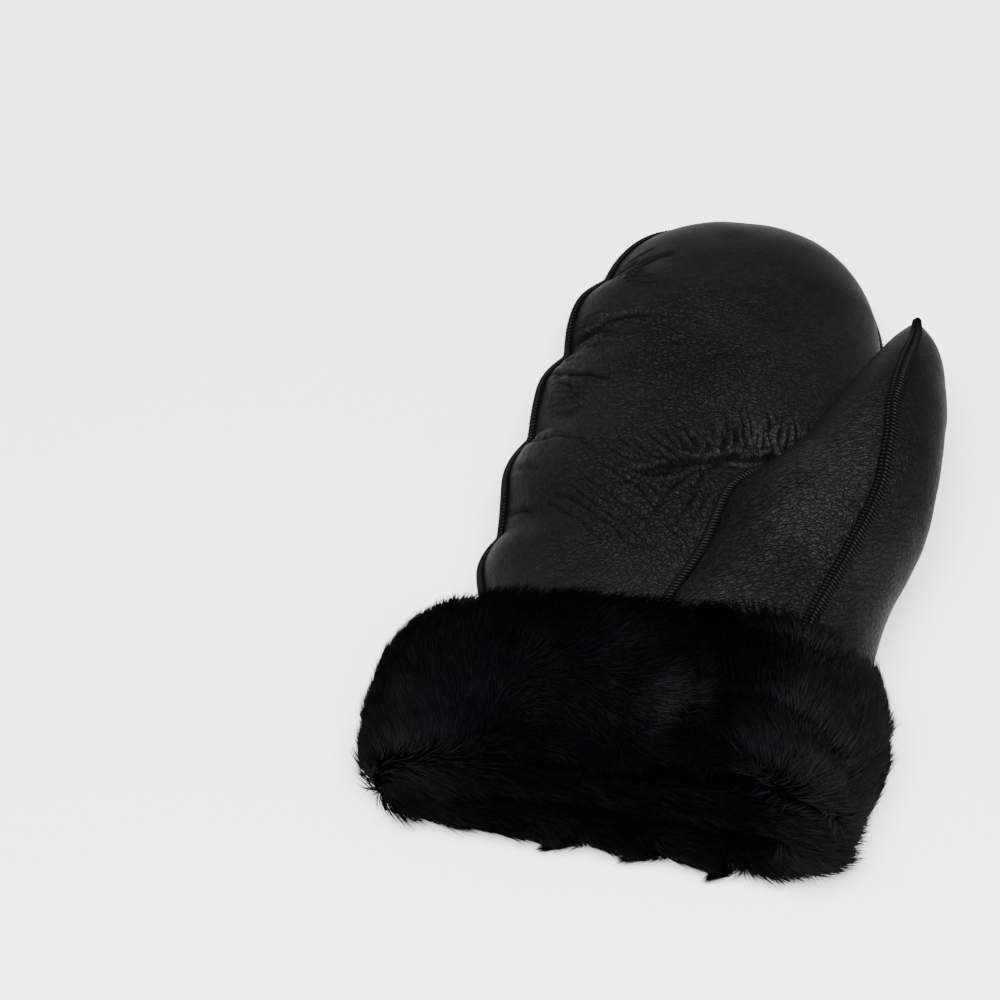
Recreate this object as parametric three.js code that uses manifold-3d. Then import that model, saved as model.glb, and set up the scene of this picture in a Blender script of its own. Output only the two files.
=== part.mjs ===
// Shearling leather mitten for the right hand, lying on its back with the palm up.
// Millimetres: x runs across the hand towards the thumb, y from the wrist seam to the fingertips, z up.
import * as THREE from 'three';
import { mergeVertices } from 'three/addons/utils/BufferGeometryUtils.js';
import Module from 'manifold-3d';

const wasm = await Module();
wasm.setup();

// Driving dimensions of the hand, which is the tube for the four fingers
const HAND_LENGTH = 224; // wrist seam to fingertip
const HAND_WIDTH = 132; // across the palm, without the thumb
const HAND_HEIGHT = 58; // from the back of the hand to the palm
const TIP_LENGTH = 80; // stretch over which the fingertips round off
const PUFF_DEPTH = 4.5; // how far the leather swells between the puckers of the rim seam

// Driving dimensions of the thumb
const THUMB_LENGTH = 160; // wrist seam to thumb tip
const THUMB_WIDTH = 40; // across the thumb above the crotch
const THUMB_HEIGHT = 42; // through the thumb above the crotch
const THUMB_OFFSET = 76; // from the hand's axis to the thumb's axis
const THUMB_TIP_LENGTH = 52; // stretch over which the thumb rounds off
const THUMB_LEVEL = 54; // height of the thumb's axis

// Driving dimensions of the turned-back fur cuff
const CUFF_LENGTH = 62; // from the wrist seam to the mouth
const CUFF_WIDTH = 188;
const CUFF_HEIGHT = 79;
const MOUTH_WIDTH = 122; // opening between the fur lips
const MOUTH_HEIGHT = 15;
const MOUTH_LEVEL = 24; // height of the middle of the opening
const LOCK_REACH = 9; // how far a lock's tip lies beyond the notches beside it
const LOCK_LIFT = 4; // how far a lock's tip stands off the pile
const LOCKS_AROUND = 29;

// Walls, seams and clearances
const SHEARLING = 6; // skin with its pressed wool
const BAND_LENGTH = 24; // leather band hidden in the cuff
const WELT = 2; // radius of a raised seam
const RIM_RISE = 6; // how much higher the rim seam runs by the little finger
const WRIST_TUCK = 6; // how far the wrist seam lies under the fur on the palm
const WRIST_RISE = 17; // how much further up it runs on the back of the hand
const WRIST_THUMB_RISE = 12; // and further again under the thumb
const FUR_THUMB_RISE = 8; // how much further the fur's edge runs up beside the thumb
const GAP = 0.3; // between neighbouring pieces
const HALF_GAP = GAP / 2;

const FAR = 400; // beyond the whole mitten
const HALF_WIDTH = HAND_WIDTH / 2;

// Mesh resolution
const HAND_RINGS = 32;
const HAND_SIDES = 36;
const LINING_RINGS = 10;
const LINING_SIDES = 14;
const THUMB_RINGS = 17;
const THUMB_SIDES = 18;
const WELT_SIDES = 5;
const SMALLEST_STEP = 0.2; // surface steps finer than this are smoothed away

// Hand sections. along: share of HAND_LENGTH. little, index: reach to each side, shares of half HAND_WIDTH.
// under, palm: lowest and highest level, shares of HAND_HEIGHT.
const HAND_SECTIONS = [
  { along: -0.16, little: 0.92, index: 0.9, under: 0.07, palm: 1.0 },
  { along: 0.0, little: 0.93, index: 0.93, under: 0.055, palm: 1.05 },
  { along: 0.22, little: 0.95, index: 0.98, under: 0.04, palm: 1.05 },
  { along: 0.45, little: 0.94, index: 0.96, under: 0.04, palm: 0.99 },
  { along: 0.63, little: 0.87, index: 0.99, under: 0.055, palm: 0.95 },
  { along: 1.0, little: 0.8, index: 0.96, under: 0.1, palm: 0.92 },
];

// Thumb sections. along: share of THUMB_LENGTH. axis: share of THUMB_OFFSET. width, height: shares of
// THUMB_WIDTH
// and THUMB_HEIGHT. level: share of THUMB_LEVEL. seam: turn of the thumb seam from level, in degrees.
const THUMB_SECTIONS = [
  { along: -0.22, axis: 0.45, width: 2.16, height: 1.4, level: 0.66, seam: 64 },
  { along: 0.02, axis: 0.525, width: 2.09, height: 1.47, level: 0.71, seam: 62 },
  { along: 0.2, axis: 0.615, width: 1.88, height: 1.5, level: 0.735, seam: 58 },
  { along: 0.4, axis: 0.722, width: 1.88, height: 1.48, level: 0.8, seam: 60 },
  { along: 0.52, axis: 0.87, width: 1.45, height: 1.22, level: 0.94, seam: 72 },
  { along: 0.62, axis: 0.98, width: 1.08, height: 1.02, level: 1.03, seam: 83 },
  { along: 0.76, axis: 1.0, width: 0.95, height: 0.94, level: 1.02, seam: 88 },
  { along: 1.0, axis: 1.035, width: 0.87, height: 0.86, level: 0.96, seam: 92 },
];

// Puckers of the rim seam on the little-finger side: share of HAND_LENGTH at which each pulls the edge in.
const PUCKERS = [0.04, 0.2, 0.42, 0.62, 0.805, 1.02];

// Folds in the palm. Ends as shares: across of half HAND_WIDTH, along of HAND_LENGTH. depth and breadth:
// shares of SHEARLING.
const PALM_FOLDS = [
  {
    name: 'crotch crease', across: 0.76, along: 0.43,
    toAcross: -0.2, toAlong: 0.305, depth: 0.85, breadth: 1.5,
  },
  {
    name: 'pucker by the tip', across: -0.84, along: 0.8,
    toAcross: -0.5, toAlong: 0.82, depth: 0.6, breadth: 1.1,
  },
  {
    name: 'pucker by the ring finger', across: -0.94, along: 0.62,
    toAcross: -0.5, toAlong: 0.65, depth: 0.7, breadth: 1.2,
  },
  {
    name: 'pucker by the palm', across: -0.98, along: 0.42,
    toAcross: -0.6, toAlong: 0.44, depth: 0.5, breadth: 1.2,
  },
];

// Path of the raised seam down the back of the hand. across: share of half HAND_WIDTH, along: share of
// HAND_LENGTH.
const BACK_SEAM = [
  { across: 0.02, along: -0.2 },
  { across: -0.02, along: 0.1 },
  { across: -0.11, along: 0.4 },
  { across: -0.23, along: 0.7 },
  { across: -0.38, along: 1.1 },
];

// Cuff sections. along: share of CUFF_LENGTH, negative towards the mouth. little, thumb: reach to each side,
// shares of half CUFF_WIDTH. under, palm: shares of CUFF_HEIGHT.
const CUFF_SECTIONS = [
  { along: -1.1, little: 0.9, thumb: 0.8, under: 0.05, palm: 0.56 },
  { along: -0.97, little: 0.95, thumb: 0.86, under: 0, palm: 0.68 },
  { along: -0.77, little: 0.99, thumb: 0.91, under: -0.025, palm: 0.84 },
  { along: -0.5, little: 0.99, thumb: 0.96, under: -0.03, palm: 0.94 },
  { along: -0.25, little: 0.95, thumb: 0.96, under: -0.025, palm: 0.95 },
  { along: -0.05, little: 0.85, thumb: 0.93, under: 0, palm: 0.9 },
  { along: 0.13, little: 0.74, thumb: 0.87, under: 0.04, palm: 0.84 },
];

// Rings of the fur from the mouth to the hand. Each row of locks has a ring of tips and a ring where they
// rise from the pile. along, notch: where the tips and the notches between them lie, shares of CUFF_LENGTH.
// lift, dip: the same off the pile, shares of LOCK_LIFT. stagger: 1 moves the row on by half a lock.
const FUR_RINGS = [
  { name: 'lip', along: -0.93, notch: -0.93, lift: -2.6, dip: -2.6, stagger: 0 },
  { name: 'lip tips', along: -1.06, notch: -0.97, lift: -0.4, dip: -0.6, stagger: 0 },
  { name: 'lip roots', along: -0.84, notch: -0.84, lift: 0, dip: 0, stagger: 0 },
  { name: 'low tips', along: -0.95, notch: -0.87, lift: 1, dip: 0.3, stagger: 1 },
  { name: 'low roots', along: -0.66, notch: -0.66, lift: 0, dip: 0, stagger: 0 },
  { name: 'side tips', along: -0.76, notch: -0.68, lift: 1, dip: 0.3, stagger: 0 },
  { name: 'crest', along: -0.5, notch: -0.5, lift: 0.2, dip: 0.2, stagger: 0 },
  { name: 'crown tips', along: -0.3, notch: -0.38, lift: 1, dip: 0.3, stagger: 1 },
  { name: 'crown roots', along: -0.4, notch: -0.4, lift: 0, dip: 0, stagger: 0 },
  { name: 'upper tips', along: -0.1, notch: -0.19, lift: 1, dip: 0.3, stagger: 0 },
  { name: 'upper roots', along: -0.21, notch: -0.21, lift: 0, dip: 0, stagger: 0 },
  { name: 'edge tips', along: 0.12, notch: 0.02, lift: 0.3, dip: -0.2, stagger: 1 },
  { name: 'edge', along: -0.02, notch: -0.02, lift: -1.3, dip: -1.3, stagger: 0 },
];

const ROUND = 2; // exponents of the superellipses: 2 is an ellipse, more is boxier
const HAND_TOP = 2.3;
const HAND_UNDER = 3;
const THUMB_ROUND = 2.1;
const CUFF_TOP = 2.5;
const CUFF_UNDER = 3.4;
const TIP_ROUND = 2.25;
const WIDEST = 0.38; // share of the hand's height at which it is widest

const clamp = (v, lo, hi) => Math.min(hi, Math.max(lo, v));
const smooth = (v) => v * v * (3 - 2 * v);
const radians = (degrees) => (degrees * Math.PI) / 180;

// Smooth value of one column of a table at a place along it.
function column(table, key, along) {
  let i = 0;
  while (i < table.length - 2 && along > table[i + 1].along) i++;
  const a = table[i];
  const b = table[i + 1];
  const before = table[Math.max(0, i - 1)];
  const after = table[Math.min(table.length - 1, i + 2)];
  const span = b.along - a.along;
  const t = clamp((along - a.along) / span, 0, 1);
  const slopeA = ((b[key] - before[key]) / (b.along - before.along)) * span;
  const slopeB = ((after[key] - a[key]) / (after.along - a.along)) * span;
  const t2 = t * t;
  const t3 = t2 * t;
  const ends = (2 * t3 - 3 * t2 + 1) * a[key] + (3 * t2 - 2 * t3) * b[key];
  return ends + (t3 - 2 * t2 + t) * slopeA + (t3 - t2) * slopeB;
}

// How much of a section is left where a tube rounds off to its tip.
function tipShare(y, tip, length, power) {
  const s = clamp((y - (tip - length)) / length, 0, 1);
  return (1 - s ** power) ** (1 / power);
}

// Swell of the little-finger edge: nothing at each pucker, with a blunt shoulder on the fingertip side of
// each puff.
function puff(y) {
  const along = y / HAND_LENGTH;
  const i = PUCKERS.findIndex((p) => p > along);
  if (i < 1) return 0;
  const t = (along - PUCKERS[i - 1]) / (PUCKERS[i] - PUCKERS[i - 1]);
  return PUFF_DEPTH * Math.sin(Math.PI * t ** 1.5) ** 0.8;
}

// Depth of the palm's folds at a place, each a groove that fades at its far end.
function palmFold(x, y) {
  let depth = 0;
  for (const f of PALM_FOLDS) {
    const from = new THREE.Vector2(f.across * HALF_WIDTH, f.along * HAND_LENGTH);
    const to = new THREE.Vector2(f.toAcross * HALF_WIDTH, f.toAlong * HAND_LENGTH);
    const way = to.clone().sub(from);
    const place = new THREE.Vector2(x, y).sub(from);
    const t = clamp(place.dot(way) / way.lengthSq(), 0, 1);
    const off = place.sub(way.clone().multiplyScalar(t)).length();
    depth += f.depth * SHEARLING * (1 - smooth(t)) * Math.exp(-((off / (f.breadth * SHEARLING)) ** 2));
  }
  return depth;
}

// A section is a superellipse with its own reach to each side and its own exponents above and below its
// widest level.
function handSection(y, inset) {
  const along = y / HAND_LENGTH;
  const left = column(HAND_SECTIONS, 'little', along) * HALF_WIDTH + puff(y);
  const right = column(HAND_SECTIONS, 'index', along) * HALF_WIDTH;
  const under = column(HAND_SECTIONS, 'under', along) * HAND_HEIGHT;
  const top = column(HAND_SECTIONS, 'palm', along) * HAND_HEIGHT;
  const share = tipShare(y, HAND_LENGTH - inset, TIP_LENGTH - inset, TIP_ROUND);
  const level = under + (top - under) * WIDEST;
  return {
    x: (right - left) / 2,
    z: level,
    half: Math.max(0, (right + left) / 2 - inset) * share,
    up: Math.max(0, top - level - inset) * share,
    down: Math.max(0, level - under - inset) * share,
    topPower: HAND_TOP,
    underPower: HAND_UNDER,
  };
}

function thumbSection(y, inset) {
  const along = y / THUMB_LENGTH;
  const share = tipShare(y, THUMB_LENGTH - inset, THUMB_TIP_LENGTH - inset, ROUND);
  const half = (column(THUMB_SECTIONS, 'width', along) * THUMB_WIDTH) / 2 - inset;
  const tall = (column(THUMB_SECTIONS, 'height', along) * THUMB_HEIGHT) / 2 - inset;
  return {
    x: column(THUMB_SECTIONS, 'axis', along) * THUMB_OFFSET,
    z: column(THUMB_SECTIONS, 'level', along) * THUMB_LEVEL,
    half: half * share,
    up: tall * share,
    down: tall * share,
    topPower: THUMB_ROUND,
    underPower: THUMB_ROUND,
  };
}

function cuffSection(y) {
  const along = y / CUFF_LENGTH;
  const left = (column(CUFF_SECTIONS, 'little', along) * CUFF_WIDTH) / 2;
  const right = (column(CUFF_SECTIONS, 'thumb', along) * CUFF_WIDTH) / 2;
  const under = column(CUFF_SECTIONS, 'under', along) * CUFF_HEIGHT;
  const top = column(CUFF_SECTIONS, 'palm', along) * CUFF_HEIGHT;
  const level = under + (top - under) * WIDEST;
  return {
    x: (right - left) / 2,
    z: level,
    half: (right + left) / 2,
    up: top - level,
    down: level - under,
    topPower: CUFF_TOP,
    underPower: CUFF_UNDER,
  };
}

// Opening of the cuff, from the leather band down to the mouth.
function mouthSection(y) {
  const t = smooth(clamp((y + CUFF_LENGTH) / (CUFF_LENGTH - BAND_LENGTH), 0, 1));
  const inner = handSection(-BAND_LENGTH, SHEARLING);
  const mix = (a, b) => a + (b - a) * t;
  return {
    x: mix(0, inner.x),
    z: mix(MOUTH_LEVEL, inner.z + (inner.up - inner.down) / 2),
    half: mix(MOUTH_WIDTH / 2, inner.half),
    up: mix(MOUTH_HEIGHT / 2, (inner.up + inner.down) / 2),
    down: mix(MOUTH_HEIGHT / 2, (inner.up + inner.down) / 2),
    topPower: CUFF_TOP,
    underPower: CUFF_TOP,
  };
}

// Point of a section at an angle, counted from +x towards +z.
function sectionPoint(s, y, angle) {
  const c = Math.cos(angle);
  const n = Math.sin(angle);
  const power = n >= 0 ? s.topPower : s.underPower;
  const reach = n >= 0 ? s.up : s.down;
  const bend = (v) => Math.sign(v) * Math.abs(v) ** (ROUND / power);
  return new THREE.Vector3(s.x + s.half * bend(c), y, s.z + reach * bend(n));
}

// Below 1 inside a section, above 1 outside it.
function insideness(s, x, z) {
  const power = z >= s.z ? s.topPower : s.underPower;
  const reach = z >= s.z ? s.up : s.down;
  if (s.half <= 0 || reach <= 0) return Infinity;
  return Math.abs((x - s.x) / s.half) ** power + Math.abs((z - s.z) / reach) ** power;
}

function handPoint(y, angle, inset) {
  const p = sectionPoint(handSection(y, inset), y, angle);
  const fade = inset > SHEARLING / 2 ? 0.5 : 1; // the wool evens the folds out
  if (Math.sin(angle) > 0) p.z -= fade * palmFold(p.x, y) * Math.sqrt(Math.sin(angle));
  return p;
}

// Closed mesh from rings of points, with a fan over each end.
function loft(rings) {
  const sides = rings[0].length;
  const places = [];
  const triangles = [];
  for (const ring of rings) for (const p of ring) places.push(p.x, p.y, p.z);
  const middle = (ring) => ring.reduce((sum, p) => sum.add(p), new THREE.Vector3()).divideScalar(sides);
  const first = middle(rings[0]);
  const last = middle(rings.at(-1));
  places.push(first.x, first.y, first.z, last.x, last.y, last.z);
  const start = rings.length * sides;
  for (let j = 0; j < rings.length - 1; j++) {
    for (let i = 0; i < sides; i++) {
      const k = (i + 1) % sides;
      const a = j * sides + i;
      const b = j * sides + k;
      const c = (j + 1) * sides + k;
      const d = (j + 1) * sides + i;
      triangles.push(a, c, b, a, d, c);
    }
  }
  for (let i = 0; i < sides; i++) {
    const k = (i + 1) % sides;
    const top = (rings.length - 1) * sides;
    triangles.push(i, k, start, top + k, top + i, start + 1);
  }
  const geometry = new THREE.BufferGeometry();
  geometry.setAttribute('position', new THREE.Float32BufferAttribute(places, 3));
  geometry.setIndex(triangles);
  return solid(geometry);
}

// Solid for joining and cutting, from a closed mesh.
function solid(geometry) {
  const plain = geometry.clone();
  for (const name of Object.keys(plain.attributes)) if (name !== 'position') plain.deleteAttribute(name);
  const merged = mergeVertices(plain, 1e-4);
  const made = new wasm.Manifold(
    new wasm.Mesh({
      numProp: 3,
      vertProperties: new Float32Array(merged.attributes.position.array),
      triVerts: new Uint32Array(merged.index.array),
    }),
  );
  return made.volume() < 0 ? turned(made) : made;
}

// The same solid with its faces the other way out.
function turned(made) {
  const { vertProperties, triVerts, numProp } = made.getMesh();
  const order = Uint32Array.from(triVerts);
  for (let i = 0; i < order.length; i += 3) [order[i], order[i + 1]] = [order[i + 1], order[i]];
  return new wasm.Manifold(new wasm.Mesh({ numProp, vertProperties, triVerts: order }));
}

const angles = (count) => Array.from({ length: count }, (_, i) => (i * 2 * Math.PI) / count);

// Stations from a start to a tip, closer together where the tube rounds off.
function stations(from, tip, tipLength, count) {
  const nearTip = 0.003; // the last ring stays just short of the tip
  const straight = tip - tipLength - from;
  const before = Math.round((count * straight) / (straight + tipLength * 1.25));
  const list = Array.from({ length: before }, (_, i) => from + (straight * i) / before);
  for (let i = 0; i <= count - before; i++) {
    const turn = (i / (count - before)) * (Math.PI / 2);
    list.push(tip - tipLength + tipLength * (1 - nearTip) * Math.sin(turn));
  }
  return list;
}

function handSolid(inset, ringCount, sides) {
  const from = -BAND_LENGTH - (inset < 0 ? GAP : 0) - (inset > 0 ? SHEARLING : 0);
  const ys = stations(from, HAND_LENGTH - inset, TIP_LENGTH - inset, ringCount);
  return loft(ys.map((y) => angles(sides).map((a) => handPoint(y, a, inset))));
}

function thumbSolid(inset, ringCount, sides) {
  const from = -BAND_LENGTH - (inset < 0 ? GAP : 0) - (inset > 0 ? SHEARLING : 0);
  const ys = stations(from, THUMB_LENGTH - inset, THUMB_TIP_LENGTH - inset, ringCount);
  return loft(ys.map((y) => angles(sides).map((a) => sectionPoint(thumbSection(y, inset), y, a))));
}

// Height of the rim seam: it climbs and dips with the puckers on the little-finger side, where it lies high
// enough to be seen from the palm, and runs lower by the fingertips and the index finger.
function rimLevel(x, y) {
  const across = x / HALF_WIDTH;
  const wave = Math.sin((y / HAND_LENGTH) * 9 * Math.PI) * 0.035 * clamp(-across, 0, 1);
  const shown = smooth(clamp(-1.6 * across - 0.5, 0, 1)) * smooth(clamp(3 - (4 * y) / HAND_LENGTH, 0, 1));
  return HAND_HEIGHT * (0.4 - 0.07 * across + wave) + RIM_RISE * shown;
}

// Place of the wrist seam along the hand: straight under the palm's fur, higher on the back and by the
// thumb.
function wristLine(x, z) {
  const back = smooth(clamp(1 - z / (HAND_HEIGHT * 0.6), 0, 1));
  const thumbward = smooth(clamp(x / HALF_WIDTH, 0, 1));
  return back * (WRIST_RISE + WRIST_THUMB_RISE * thumbward) - WRIST_TUCK;
}

function backSeamAcross(y) {
  return column(BACK_SEAM, 'across', y / HAND_LENGTH) * HALF_WIDTH;
}

// Block on one side of a surface that is a height over a grid of two coordinates. place turns them into a
// point.
function sideBlock(us, vs, height, far, place) {
  const rings = us.map((u) => [
    ...vs.map((v) => place(u, v, height(u, v))),
    ...[...vs].reverse().map((v) => place(u, v, far)),
  ]);
  return loft(rings);
}

const spread = (from, to, count) =>
  Array.from({ length: count + 1 }, (_, i) => from + ((to - from) * i) / count);
const ACROSS = spread(-1.7 * HALF_WIDTH, 1.7 * HALF_WIDTH, 10);
const ALONG = spread(-CUFF_LENGTH, HAND_LENGTH + SHEARLING, 30);
const UPWARD = spread(-HAND_HEIGHT / 2, 2 * HAND_HEIGHT, 12);

// Half of space above (side 1) or below (side -1) the rim seam.
const rimSide = (side) =>
  sideBlock(ALONG, ACROSS, (y, x) => rimLevel(x, y) + side * HALF_GAP, side * FAR, (y, x, z) => {
    return new THREE.Vector3(x, y, z);
  });

// Half of space on the hand's side (1) or the cuff's side (-1) of the wrist seam.
const wristSide = (side) =>
  sideBlock(ACROSS, UPWARD, (x, z) => wristLine(x, z) + side * HALF_GAP, side * FAR, (x, z, y) => {
    return new THREE.Vector3(x, y, z);
  });

// Half of space on the thumb side (1) or the little-finger side (-1) of the seam on the back.
const backSide = (side) =>
  sideBlock(ALONG, [-FAR, FAR], (y) => backSeamAcross(y) + side * HALF_GAP, side * FAR, (y, z, x) => {
    return new THREE.Vector3(x, y, z);
  });

// Half of space on the palm's side (1) or the outer side (-1) of the thumb seam, which turns as it climbs
// the thumb.
function thumbSide(side) {
  const rings = spread(-CUFF_LENGTH, THUMB_LENGTH + SHEARLING, 28).map((y) => {
    const s = thumbSection(Math.min(y, THUMB_LENGTH), 0);
    const middle = new THREE.Vector3(s.x, y, s.z);
    const below = thumbSection(Math.min(y, THUMB_LENGTH * 0.99), 0);
    const way = sectionPoint(below, y, thumbSeamAngle(y)).sub(middle).normalize();
    const off = new THREE.Vector3(-way.z, 0, way.x).multiplyScalar(side);
    middle.addScaledVector(off, HALF_GAP);
    const reaches = spread(THUMB_OFFSET, -THUMB_OFFSET, 6);
    const near = reaches.map((reach) => middle.clone().addScaledVector(way, reach));
    return [...near, ...near.map((p) => p.clone().addScaledVector(off, FAR)).reverse()];
  });
  return loft(rings);
}

const thumbSeamAngle = (y) => radians(column(THUMB_SECTIONS, 'seam', y / THUMB_LENGTH));

// Finds where a function that changes sign between two values is zero.
function zero(from, to, f) {
  let low = from;
  let high = to;
  const rising = f(high) > f(low);
  for (let i = 0; i < 40; i++) {
    const mid = (low + high) / 2;
    if (f(mid) > 0 === rising) high = mid;
    else low = mid;
  }
  return (low + high) / 2;
}

// Points of the rim seam up the little-finger side, under the fingertips and down the index side.
function rimPath() {
  const overTip = (angle) => (y) => {
    const p = handPoint(y, angle, 0);
    return p.z - rimLevel(p.x, y);
  };
  const lowest = -Math.PI / 2;
  const ends = HAND_LENGTH - 0.4;
  const turnAt = zero(HAND_LENGTH * 0.8, ends, overTip(lowest));
  const at = (y, from, to) => {
    const angle = zero(from, to, (a) => {
      const p = handPoint(y, a, 0);
      return p.z - rimLevel(p.x, y);
    });
    return handPoint(y, angle, 0);
  };
  const share = (i, count) => Math.sin((i / count) * (Math.PI / 2));
  const count = 26;
  const from = 3 * WELT + wristLine(-HALF_WIDTH, rimLevel(-HALF_WIDTH, 0));
  const crotch = THUMB_LENGTH * 0.575;
  const steps = spread(0, count, count);
  const up = steps.map((i) => at(from + (turnAt - from) * share(i, count), Math.PI * 1.5, Math.PI / 2));
  const down = steps.map((i) => at(crotch + (turnAt - crotch) * share(i, count), -Math.PI / 2, Math.PI / 2));
  return [...up.slice(0, -1), ...down.reverse()];
}

// Points where the thumb's tube meets the hand's, on the palm (from above) or on the back (from below).
function meetingPath(fromY, toY, angleFree, angleInside, count) {
  return spread(fromY, toY, count).map((y) => {
    const s = thumbSection(y, 0);
    const angle = zero(angleFree, angleInside, (a) => {
      const p = sectionPoint(s, y, a);
      return insideness(handSection(y, 0), p.x, p.z + (Math.sin(a) > 0 ? palmFold(p.x, y) : 0)) - 1;
    });
    return sectionPoint(s, y, angle);
  });
}

function thumbSeamPath() {
  const surface = (y, turn) => sectionPoint(thumbSection(y, 0), y, thumbSeamAngle(y) + turn);
  const count = 24;
  const tip = THUMB_LENGTH - 0.2;
  const share = (i) => Math.sin((i / count) * (Math.PI / 2));
  const up = spread(0, count, count).map((i) => surface(2.4 * WELT + (tip - 2.4 * WELT) * share(i), 0));
  const clear = THUMB_LENGTH * 0.86; // from here down the thumb lies against the hand
  const drop = (i) => (tip - clear) * (1 - Math.cos((i / 5) * (Math.PI / 2)));
  const down = spread(0, 5, 5).map((i) => surface(tip - drop(i), Math.PI));
  return [...up, ...down.slice(1)];
}

function backSeamPath() {
  const top = zero(HAND_LENGTH * 0.8, HAND_LENGTH - 0.4, (y) => {
    const p = handPoint(y, -Math.PI / 2, 0);
    return p.z - rimLevel(p.x, y);
  });
  const at = (y) => {
    const across = backSeamAcross(y);
    const angle = zero(-Math.PI * 0.97, -Math.PI * 0.03, (a) => handPoint(y, a, 0).x - across);
    return handPoint(y, angle, 0);
  };
  const from = wristLine(0, 0) + 2.4 * WELT;
  const to = top - 6 * WELT;
  return spread(from, to, 24).map(at);
}

// Rounds the corners of a closed path of points.
function eased(points, passes) {
  if (passes === 0) return points;
  const mid = points.map((p, i) => {
    const sum = points.at(i - 1).clone().add(points[(i + 1) % points.length]);
    return sum.multiplyScalar(0.25).addScaledVector(p, 0.5);
  });
  return eased(mid, passes - 1);
}

// Outline of the hand and thumb together round the wrist seam.
function wristPath() {
  const centre = { x: 10, z: HAND_HEIGHT * 0.55 };
  const proud = WELT / 3; // keeps the seam clear of the leather where its corners are rounded
  const around = angles(72).map((angle) => {
    let y = 0;
    let p = null;
    for (let pass = 0; pass < 3; pass++) {
      const hand = handSection(y, 0);
      const thumb = thumbSection(y, 0);
      const r = proud + zero(0, FAR, (reach) => {
        const x = centre.x + reach * Math.cos(angle);
        const z = centre.z + reach * Math.sin(angle);
        return Math.min(insideness(hand, x, z), insideness(thumb, x, z)) - 1;
      });
      p = new THREE.Vector3(centre.x + r * Math.cos(angle), y, centre.z + r * Math.sin(angle));
      y = wristLine(p.x, p.z);
      p.y = y;
    }
    return p;
  });
  return eased(around, 2);
}

// Raised seam: a round bead carried along a path.
function bead(points, closed, steps, radius = WELT) {
  const curve = new THREE.CatmullRomCurve3(points, closed, 'centripetal');
  const corner = (a) => new THREE.Vector2(Math.cos(a), Math.sin(a)).multiplyScalar(radius);
  const corners = angles(WELT_SIDES).map(corner);
  const how = { steps, extrudePath: curve, curveSegments: 1, bevelEnabled: false };
  return solid(new THREE.ExtrudeGeometry(new THREE.Shape(corners), how));
}

// Repeatable values from 0 to 1 for a numbered lock.
const scatter = (number) => Math.abs((Math.sin(number * 127.1) * 43758.5453) % 1);

// One ring of the fur, which goes out to a lock's tip and back to the notch beside it in turn.
function furRing(row, index) {
  return angles(2 * LOCKS_AROUND).map((angle, i) => {
    const isTip = (i + row.stagger) % 2 === 0;
    const flat = cuffSection(row.notch * CUFF_LENGTH);
    const step = 0.05;
    const tangent = sectionPoint(flat, 0, angle + step).sub(sectionPoint(flat, 0, angle - step)).normalize();
    const normal = new THREE.Vector3(tangent.z, 0, -tangent.x);
    // The fur is pressed flat where the cuff lies on it.
    const free = 1 - smooth(clamp((-normal.z - 0.3) / 0.5, 0, 1));
    const own = 0.7 + 0.6 * scatter(100 * index + i);
    const beyond = isTip ? (row.along - row.notch) * free * own : 0;
    const y = (row.notch + beyond) * CUFF_LENGTH;
    const foot = sectionPoint(cuffSection(y), y, angle);
    const lift = (isTip ? row.lift : row.dip) * LOCK_LIFT;
    const sway = isTip && row.along !== row.notch ? 2 * scatter(100 * index + i + 50) - 1 : 0;
    foot.addScaledVector(tangent, sway * LOCK_LIFT * 0.4 * free);
    foot.addScaledVector(normal, row.lift < 0 ? lift : lift * free * own);
    const thumbward = smooth(clamp((2 * foot.x) / CUFF_WIDTH, 0, 1));
    foot.y += FUR_THUMB_RISE * thumbward * smooth(clamp(1 + (2 * y) / CUFF_LENGTH, 0, 1));
    return foot;
  });
}

function cuffSolid(bodies) {
  const outer = loft(FUR_RINGS.map(furRing));
  const mouthYs = [-CUFF_LENGTH * 1.3, -CUFF_LENGTH, ...spread(-CUFF_LENGTH * 0.9, -BAND_LENGTH + 1, 4)];
  const mouthRing = (y) => angles(LINING_SIDES).map((a) => sectionPoint(mouthSection(y), y, a));
  const mouth = loft(mouthYs.map(mouthRing));
  const ground = solid(new THREE.BoxGeometry(FAR, FAR, FAR).translate(0, 0, -FAR / 2));
  return outer.subtract(bodies).subtract(mouth).subtract(ground);
}

// The largest piece of a solid, without the slivers that a cut can leave.
function largest(made) {
  const pieces = made.decompose();
  return pieces.reduce((best, piece) => (piece.volume() > best.volume() ? piece : best), pieces[0]);
}

function mesh(name, made, material) {
  const { vertProperties, triVerts } = largest(made.simplify(SMALLEST_STEP)).getMesh();
  const geometry = new THREE.BufferGeometry();
  geometry.setAttribute('position', new THREE.BufferAttribute(new Float32Array(vertProperties), 3));
  geometry.setIndex(new THREE.BufferAttribute(new Uint32Array(triVerts), 1));
  const flat = geometry.toNonIndexed();
  flat.computeVertexNormals();
  const part = new THREE.Mesh(flat, material);
  part.name = name;
  return part;
}

const leather = new THREE.MeshStandardMaterial({ color: 0x1a1a1b, roughness: 0.5, metalness: 0 });
const seamLeather = new THREE.MeshStandardMaterial({ color: 0x121213, roughness: 0.75, metalness: 0 });
const fur = new THREE.MeshStandardMaterial({ color: 0x0b0b0d, roughness: 1, metalness: 0 });

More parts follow.
